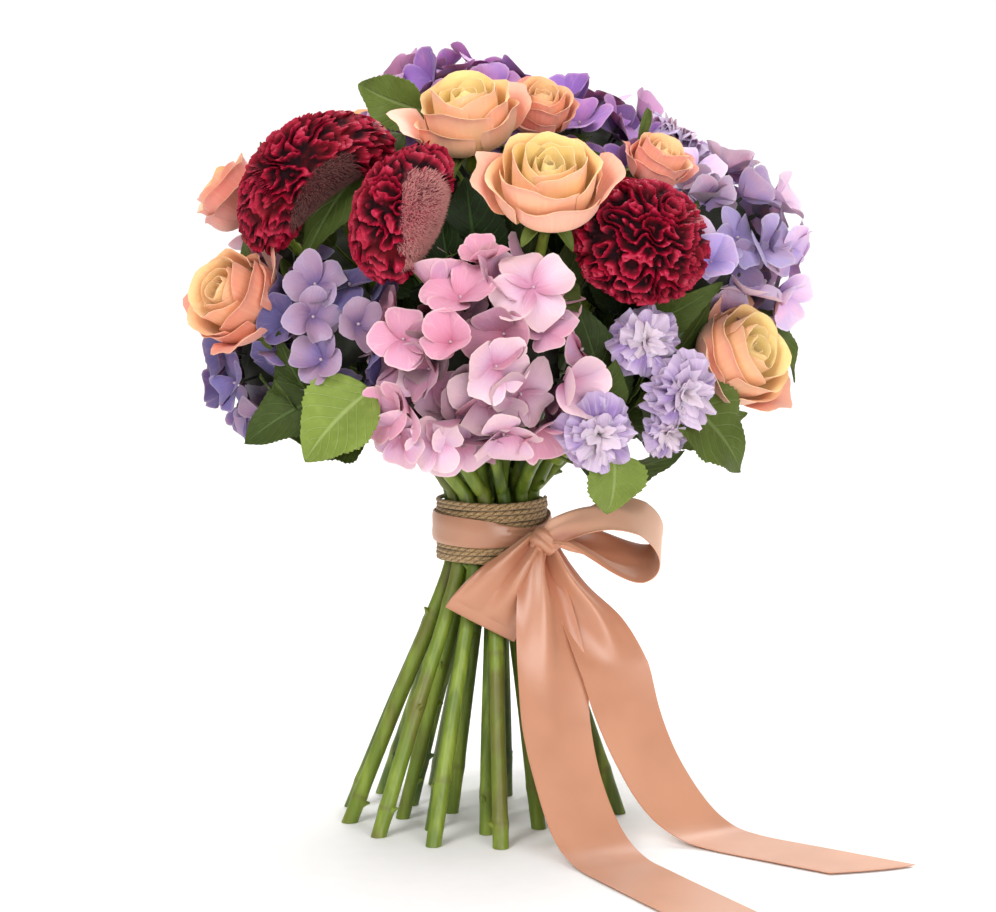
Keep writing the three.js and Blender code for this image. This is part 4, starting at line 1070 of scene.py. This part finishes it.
def grow_floret(growth, centre, normal, size, layer, draw):
    """A floret: four petals, more or less cupped, round a bead."""
    turn = turn_from_up(normal)
    spin = draw.uniform(0, math.pi / 2)
    cup, chance = draw.choice([0.05, 0.2, 0.4, 0.7, 1.1]), draw.random()
    for k in range(4):
        azimuth = spin + k * math.pi / 2 + draw.uniform(-0.16, 0.16)
        petal = floret_petal(size, azimuth, cup, draw)
        at = centre + turn @ [0, 0, 0.6 * (k % 2)]
        growth.press(floret_blank, petal, FLORET_THICK, layer, chance, 0, turn, at)
    bud = [np.array([0, 0, z]) for z in (0.3, 1.2, 2.0, 2.4)]
    growth.add_bar(bud, [0.5, 0.85, 0.6, 0.15], 6, (0, 0, 1, chance), 1, turn, centre)


heart_points, heart_faces = ball(4)
for order, (name, (radius, flatness, florets, size, tints)) in enumerate(HYDRANGEAS.items()):
    draw = random.Random(400 + order)
    turn, at = turn_to(name), centre_of(name)
    growth = Growth()
    places = []
    for i in range(florets):
        tilt = math.acos(1 - DOME_SHARE * (i + 0.5) / florets)
        around = i * GOLDEN + draw.uniform(-0.15, 0.15)
        way = np.array([math.sin(tilt) * math.cos(around), math.sin(tilt) * math.sin(around),
                        math.cos(tilt)])
        deep = draw.choice(FLORET_DEPTHS)
        normal = unit(way / [1, 1, flatness] + [draw.gauss(0, 0.38) for _ in range(3)])
        reach = size * draw.uniform(0.84, 1.04)
        # Painted shade: florets set deeper take a lower layer, which paints them darker.
        places.append((way, deep, normal, reach, 0.6 + 0.4 * (deep > 0.9)))
        if draw.random() < DEEP_FLORETS:
            way_aside = unit(way + [draw.gauss(0, 0.2) for _ in range(3)])
            places.append((way_aside, DEEP_AT, way, size * 0.9, 0.25))
    for way, deep, normal, reach, layer in places:
        centre = way * radius * deep * [1, 1, flatness]
        if (at + turn @ centre)[2] < LOWEST_FLORET.get(name, 0):
            continue
        grow_floret(growth, at + turn @ centre, turn @ normal, reach, layer, draw)
        root = np.array([0, 0, -0.3 * radius * flatness]) + centre * 0.15
        stalk = root + (centre - root) * STALK_STEPS + way * 4 * STALK_STEPS * (1 - STALK_STEPS)
        growth.add_bar(at + stalk @ turn.T, [1.1, 0.8, 0.7, 0.9], 5, STALK_TONE, 2)
    for place, way, reach in TALL_FLORETS.get(name, []):
        place, normal = np.array(place, float), way_to(*way)
        grow_floret(growth, place, normal, reach, 1.0, draw)
        stalk = [at, (at + place) / 2 - normal * 3, place]
        growth.add_bar(stalk, [1.1, 0.8, 0.9], 5, STALK_TONE, 2)
    # The heart: a lumpy ball painted near black, as painted shade between the florets.
    heart = heart_points * [HEART_WIDE, HEART_WIDE, HEART_HIGH * flatness] * radius
    heart = heart * np.array([[1 + 0.15 * noise.noise(Vector(p) / 6)] for p in heart])
    growth.add(heart @ turn.T + at, heart_faces, (0, 0, 0, 0.5), 2)
    piece = growth.make(f"{name}_florets", floret_finishes[tints], bead, shade_heart)
    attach(piece, "root")
    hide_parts(name)


# The carnations: small double blooms of ruffled, toothed petals in a green cup. The petals are
# violet, paler at the rims and where they crowd in the middle, and painted darker towards their
# feet as painted shade.

# radius
CARNATIONS = {"carnation_right": 17.5, "carnation_right_2": 19.5, "carnation_low": 19,
              "carnation_high": 21, "carnation_back": 20}
# a second, smaller bloom on the same stem: centre, the way it faces, radius
CARNATION_TWINS = {"carnation_right_2": [((84, -98, 206), (-68, -24), 14)]}
RUFFLE_THICK = 0.45
# petals in each round, how far they lean out from the axis in degrees, their length
CARNATION_ROUNDS = [(7, 84, 1.02), (7, 66, 0.96), (6, 48, 0.88), (5, 30, 0.76), (4, 14, 0.64)]
ruffle_blank = blank(18, 6)
frilled = Finish("carnation_petal", roughness=0.55, specular_ior_level=0.3, sheen_weight=0.15,
                 subsurface_weight=0.12, subsurface_scale=0.003)
across, along, layer, chance = frilled.tone()
ribs = frilled.lines(across * 30, along * 2)
# Painted shade: the petals darken towards their feet, where they crowd into the cup.
frilled.paint("c9b6c0", ((layer + chance * 0.4).within(0.1, 1.2), "8a6ea4"),
              ((1 - along.within(0.15, 0.75)) * 0.75, "5a3f70"),
              (along.within(0.75, 1.0) * 0.55, "cbb8ce"), (ribs.within(0.5, 0.8) * 0.3, "e9dee2"))
frilled.bump(ribs, 0.0004, 0.5)


def ruffle(size, azimuth, lean, long, draw):
    """A fan-shaped petal with a toothed, rippled rim."""
    tilt = math.radians(lean) + draw.uniform(-0.24, 0.2)
    spread = math.radians(draw.uniform(38, 60))
    beat, phase = draw.uniform(1.6, 3.0), draw.uniform(0, 6)
    height, second = draw.uniform(0.14, 0.24), draw.uniform(0.04, 0.075)
    teeth, skew = draw.randint(6, 9), draw.uniform(-0.15, 0.15)

    def surface(u, v):
        t = np.clip(v, 0, 1)
        saw = 2 * np.abs((u * teeth / 2) % 1 - 0.5) - 0.5
        rim = 1 - 0.24 * np.abs(u) ** 3 + 0.05 * saw * t**4 + skew * u * t
        r = size * long * t * rim * np.cos(spread * u)
        angle = tilt - 0.6 * (1 - t) * tilt + 0.3 * t**3
        side = size * long * (0.06 + 0.94 * t) * rim * np.sin(spread * u)
        wave = size * (height * np.sin(beat * np.pi * u + phase) * t**1.5
                       + second * np.sin(4.5 * np.pi * u - phase) * t**2)
        x = r * np.sin(angle) + wave * np.cos(angle) * 0.7
        z = size * (-0.5 + 0.12 * t) + r * np.cos(angle) + wave * np.sin(angle)
        return swing(x, side, z, azimuth)

    return surface


def grow_carnation(growth, at, turn, size, draw):
    for inward, (petals, lean, long) in enumerate(CARNATION_ROUNDS):
        for k in range(petals):
            azimuth = 2 * math.pi * (k + 0.4 * inward) / petals + draw.uniform(-0.35, 0.35)
            own_lean, own_long = lean + draw.uniform(-8, 8), long * draw.uniform(0.8, 1.06)
            petal = ruffle(size, azimuth, own_lean, own_long, draw)
            layer, chance = 1 - inward / 4, draw.random()
            growth.press(ruffle_blank, petal, RUFFLE_THICK, layer, chance, 0, turn, at)
    cup = [np.array([0, 0, z * size]) for z in (-0.62, -0.55, -0.4, -0.25)]
    radii = np.array([0.16, 0.24, 0.28, 0.34]) * size
    growth.add_bar(cup, radii, 12, (0, 0, 0, 0.4), 1, turn, at)


for order, (name, size) in enumerate(CARNATIONS.items()):
    draw = random.Random(500 + order)
    at = centre_of(name)
    growth = Growth()
    grow_carnation(growth, at, turn_to(name), size, draw)
    for place, way, small in CARNATION_TWINS.get(name, []):
        normal = way_to(*way)
        grow_carnation(growth, np.array(place, float), turn_from_up(normal), small, draw)
        stalk = [place - normal * small * 0.6, at - facing_of(name) * size * 0.9]
        growth.add_bar(stalk, [1.3, 1.4], 6, (0, 0, 0, 0.4), 1)
    piece = growth.make(f"{name}_petals", frilled, stem_skin)
    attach(piece, "root")
    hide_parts(name)


# The twine: one length of two-ply jute, wound tightly round the stems in even turns from below
# the ribbon to above it.
TWINE_RADIUS, TWINE_CENTRE, TWINE_LOW, TWINE_HIGH = 1.12, 27.1, 132.6, 163.4
TWINE_TURNS, TWINE_STEPS, TWINE_SIDES = 15, 96, 9
PLY_TURNS = 560  # times that the two plies turn round each other
jute = Finish("jute_twine", roughness=0.85, sheen_weight=0.2)
across, along, _, _ = jute.tone()
strand = across.maths("SINE", (across * 2 + along * PLY_TURNS) * (2 * math.pi))
hairs = jute.speckle(1500, detail=4)
tan = jute.blend(hairs.within(0.35, 0.7), "9a7a4f", "cfb082")
jute.paint("745735", (strand.within(-1.0, -0.4), tan),
           (jute.speckle(120).within(0.5, 0.8) * 0.5, "b0936a"))
jute.bump(strand * 0.5 + hairs * 0.6, 0.0004, 0.6)

draw = random.Random(600)
drift = [draw.uniform(0, 6) for _ in range(4)]
turns = np.linspace(0, TWINE_TURNS, TWINE_TURNS * TWINE_STEPS)
angle = 2 * np.pi * turns
ring = TWINE_CENTRE + 0.16 * np.sin(3 * angle + drift[0]) + 0.12 * np.sin(5.3 * angle + drift[1])
rise = TWINE_LOW + (TWINE_HIGH - TWINE_LOW) * turns / TWINE_TURNS
rise = rise + 0.28 * np.sin(1.37 * angle + drift[2]) + 0.16 * np.sin(3.71 * angle + drift[3])
points, faces, (around, lengthwise) = tube(
    swing(ring, 0, rise, angle), [TWINE_RADIUS] * len(turns), TWINE_SIDES,
    lambda a, s: 1 + 0.07 * np.cos(2 * np.pi * (2 * a + PLY_TURNS * s)))
growth = Growth()
growth.add(points, faces, (around, lengthwise, 0, 0))
twine = growth.make("jute_twine_turns", jute)
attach(twine, "root")
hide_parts("jute_twine")


# The ribbon: 38 mm double-faced satin, gathered round the twine and tied in a bow in front. Its
# two loops and two long tails spread from pleats at the knot, and the tails trail on the surface.
RIBBON_WIDTH, RIBBON_THICK, BAND_THICK, BAND_LENGTH = 38, 0.45, 0.3, 185
RIBBON_LOWEST, PLEATS = 0.6, 1.2
# points along the middle of each stretch, each with the share of its width that is open there
FRONT_TAIL = [
    (23, -33, 146, 0.26), (24, -39, 132, 0.53), (27, -47, 112, 0.79), (30, -55, 86, 0.97),
    (32, -65, 58, 1), (38, -76, 32, 1), (46, -87, 12, 1), (56, -101, 2, 1),
    (69, -128, 1.1, 1), (105, -200, 1.1, 1),
]
RIGHT_TAIL = [
    (27, -31, 146, 0.26), (36, -35, 126, 0.58), (50, -40, 108, 0.84), (60, -44, 86, 1),
    (67, -47, 62, 1), (76, -49, 40, 1), (88, -51, 20, 1), (101, -53, 7, 1),
    (117, -61, 1.3, 1), (150, -88, 1.1, 1), (189, -119, 1.1, 1),
]
RIGHT_LOOP = [
    (26, -35, 148, 0.26), (33, -38, 153.5, 0.42), (44, -42, 159.5, 0.68), (54, -44, 162.3, 0.88),
    (63, -44.5, 162.3, 0.97), (73, -45, 159.3, 1), (80.3, -45, 153, 1), (83.3, -45, 145.5, 1),
    (81, -45, 139.5, 1), (75, -45, 136.5, 1), (68, -44.5, 136.8, 0.97), (59, -43, 139.3, 0.88),
    (48, -41, 143.3, 0.68), (38, -38, 146, 0.42), (28, -35, 147, 0.26),
]
LEFT_LOOP = [
    (23, -35, 148, 0.26), (9, -43, 128, 0.74), (-3, -42, 110, 1), (-6, -40, 105.5, 1),
    (-3, -38, 110, 1), (9, -38.5, 128, 0.74), (23, -33, 145, 0.26),
]
satin = Finish("peach_satin", roughness=0.36, specular_ior_level=0.7, sheen_weight=0.6,
               sheen_roughness=0.4, sheen_tint="ffd2b6")
across, _, painted_loop_light, furrow = satin.tone()
selvedge = abs(across * 2 - 1).within(0.94, 0.985)
# The right loop's outer face is painted paler, as painted light where it lies in the shade of the
# blooms.
satin.paint("b0785b", (satin.speckle(14).within(0.3, 0.7), "c68e6f"), (painted_loop_light, "f2bb9c"),
            (furrow * 0.8, "9b5236"), (selvedge * 0.5, "bd7e5f"))
satin.bump(satin.speckle(2600, (1, 1, 0.2), 1), 0.0001, 0.25)


def azimuths(start, through):
    """The way across a tail: level, and turning as it falls."""
    return lambda v: swing(1, 0, 0 * v, np.radians(start + through * v))


def turning(start, end):
    """The way across a loop, which tips as the loop goes round."""
    first, last = np.array(start, float), np.array(end, float)
    return lambda v: unit(first + (last - first) * np.reshape(v, (-1, 1)))


def pleat(u, v, share, phase):
    """How far the drawn-together ribbon stands out of its plane, in half widths."""
    slope = np.minimum(1.4 * np.sqrt(1 / share**2 - 1), 3)
    broad = np.sin(np.pi * PLEATS * u + phase + 1.5 * v) / PLEATS
    sharp = np.sin(np.pi * 3.1 * u + 1.7 * phase) / 3.1
    return slope / np.pi * (0.75 * broad + 0.55 * sharp * (1.3 - share))


def run_of_ribbon(rows, side_at, phase, cut, sway, outward):
    """A stretch of ribbon along the rows, pleated, all outwards or not, where it is drawn in."""

    def surface(u, v):
        v = v * (1 - cut * (u + 1) / 2)
        centre = spline(rows, v)
        ahead = spline(rows, v + 0.002) - spline(rows, v - 0.002)
        side = side_at(v)
        up = unit(np.cross(side, ahead[:, :3]))
        share = np.clip(centre[:, 3], 0.2, 1)
        half = 0.5 * RIBBON_WIDTH * share
        lift = half * pleat(u, v, share, phase)
        lift = np.abs(lift) if outward else lift
        clear = np.clip((centre[:, 2] - 6) / 30, 0, 1)
        lift = lift + sway * clear * np.sin(2 * np.pi * (1.6 * v + 0.22 * u) + phase) * share
        point = centre[:, :3] + side * (u * half)[:, None] + up * lift[:, None]
        point[:, 2] = np.maximum(point[:, 2], RIBBON_LOWEST)
        return point

    return surface


RIGHT_ACROSS = turning((-0.12, -0.95, -0.22), (-0.12, -0.91, -0.4))
LEFT_ACROSS = turning((-0.88, 0, 0.47), (-0.88, 0, 0.47))
# rows, the way across, phase of the pleats, share cut off at a slant, sway, flat length, how held
STRETCHES = {
    "ribbon_front_tail": (FRONT_TAIL, azimuths(212, -6), 0.3, 0.0, 1.6, 273, "draped"),
    "ribbon_right_tail": (RIGHT_TAIL, azimuths(190, 40), 1.9, 0.05, 1.6, 265, "draped"),
    "ribbon_right_loop": (RIGHT_LOOP, RIGHT_ACROSS, 0.8, 0.0, 0.6, 134, "gathered"),
    "ribbon_left_loop": (LEFT_LOOP, LEFT_ACROSS, 2.2, 0.0, 0.4, 105, "gathered"),
}
ribbon_blank = blank(28, 110)
u, v, skin = ribbon_blank[0].T
for name, (rows, side_at, phase, cut, sway, length, held) in STRETCHES.items():
    outward = name == "ribbon_left_loop"
    surface = run_of_ribbon(rows, side_at, phase, cut, sway, outward)
    paler = (skin > 0) * (name == "ribbon_right_loop")  # painted light: the right loop's outer face is coloured paler to stand in for light it misses in the shade of the blooms
    share = np.clip(spline(rows, v)[:, 3], 0.2, 1)
    rise = pleat(u, v, share, phase)
    rise = np.abs(rise) - 0.2 if outward else rise
    # Painted shade: darker in the furrows of the pleats, most where the ribbon is drawn in at the
    # knot.
    furrows = np.clip((1 - share) * (0.8 - 3.4 * np.sign(skin) * rise), 0, 1)
    growth = Growth()
    growth.press(ribbon_blank, surface, RIBBON_THICK, paler, furrows)
    piece = growth.make(name, satin)
    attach(piece, "root")
    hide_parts("satin_ribbon")


# The band: the same ribbon where it goes once round the twine, folded in three, its folds drawn
# together behind the knot.

# radius and height of points across the folded ribbon
BAND = np.array([(28.55, 156), (28.55, 150), (28.55, 144.2), (29.2, 142.2), (29.9, 143.4),
                 (30.25, 149.4), (29.9, 155.4), (29.5, 156.8), (29.1, 155.2), (29.1, 149),
                 (29.1, 143.8)])


def band_surface(u, v):
    away = np.minimum(v, 1 - v) * 360
    radius, height = spline(BAND, (u + 1) / 2).T
    drawn = np.exp(-((away / 34) ** 2))
    middle = 149.6 - 2.4 * np.exp(-((away / 60) ** 2))
    height = middle + (height - 149.4) * (1 - 0.5 * drawn)
    outer = np.clip((radius - 29.6) / 0.4, 0, 1)
    radius = radius + outer * (0.2 * np.sin(14 * v + 0.6 * height)
                               + 0.9 * drawn * (np.sin(1.7 * height) + 0.6))
    return swing(radius, 0, height, np.radians(-50 + 360 * v))


growth = Growth()
growth.press(ribbon_blank, band_surface, BAND_THICK, 0, 0)
band = growth.make("ribbon_band", satin)
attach(band, "root")
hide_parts("satin_ribbon")


# The knot: the same ribbon passed once over the crossing of loops and tails and drawn tight, in
# three slanting pleats.
KNOT_AT, KNOT_SIZE = (26, -37, 146.5), (6.0, 8.2, 7.2)
KNOT_SLANT, KNOT_FACES = math.radians(38), math.radians(-74)
bpy.ops.object.select_all(action="DESELECT")
bpy.ops.mesh.primitive_uv_sphere_add(segments=64, ring_count=40, radius=1)
knot_points, knot_faces = taken(bpy.context.object)
c, s = math.cos(KNOT_SLANT), math.sin(KNOT_SLANT)
across_knot = knot_points[:, 1] * s + knot_points[:, 2] * c
along_knot = knot_points[:, 1] * c - knot_points[:, 2] * s
ridges = np.abs(np.sin(4.2 * across_knot + 0.5 * along_knot)) - 0.6
swell = 1 + 0.26 * ridges * (1 - along_knot**2) ** 0.5 - 0.12 * np.exp(-((along_knot / 0.4) ** 2))
knot_points = swing(*(knot_points * swell[:, None] * KNOT_SIZE).T, KNOT_FACES)
growth = Growth()
growth.add(knot_points + KNOT_AT, knot_faces, (0.5, 0.5, 0, 0))
knot = growth.make("ribbon_knot", satin)
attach(knot, "root")
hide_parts("satin_ribbon")
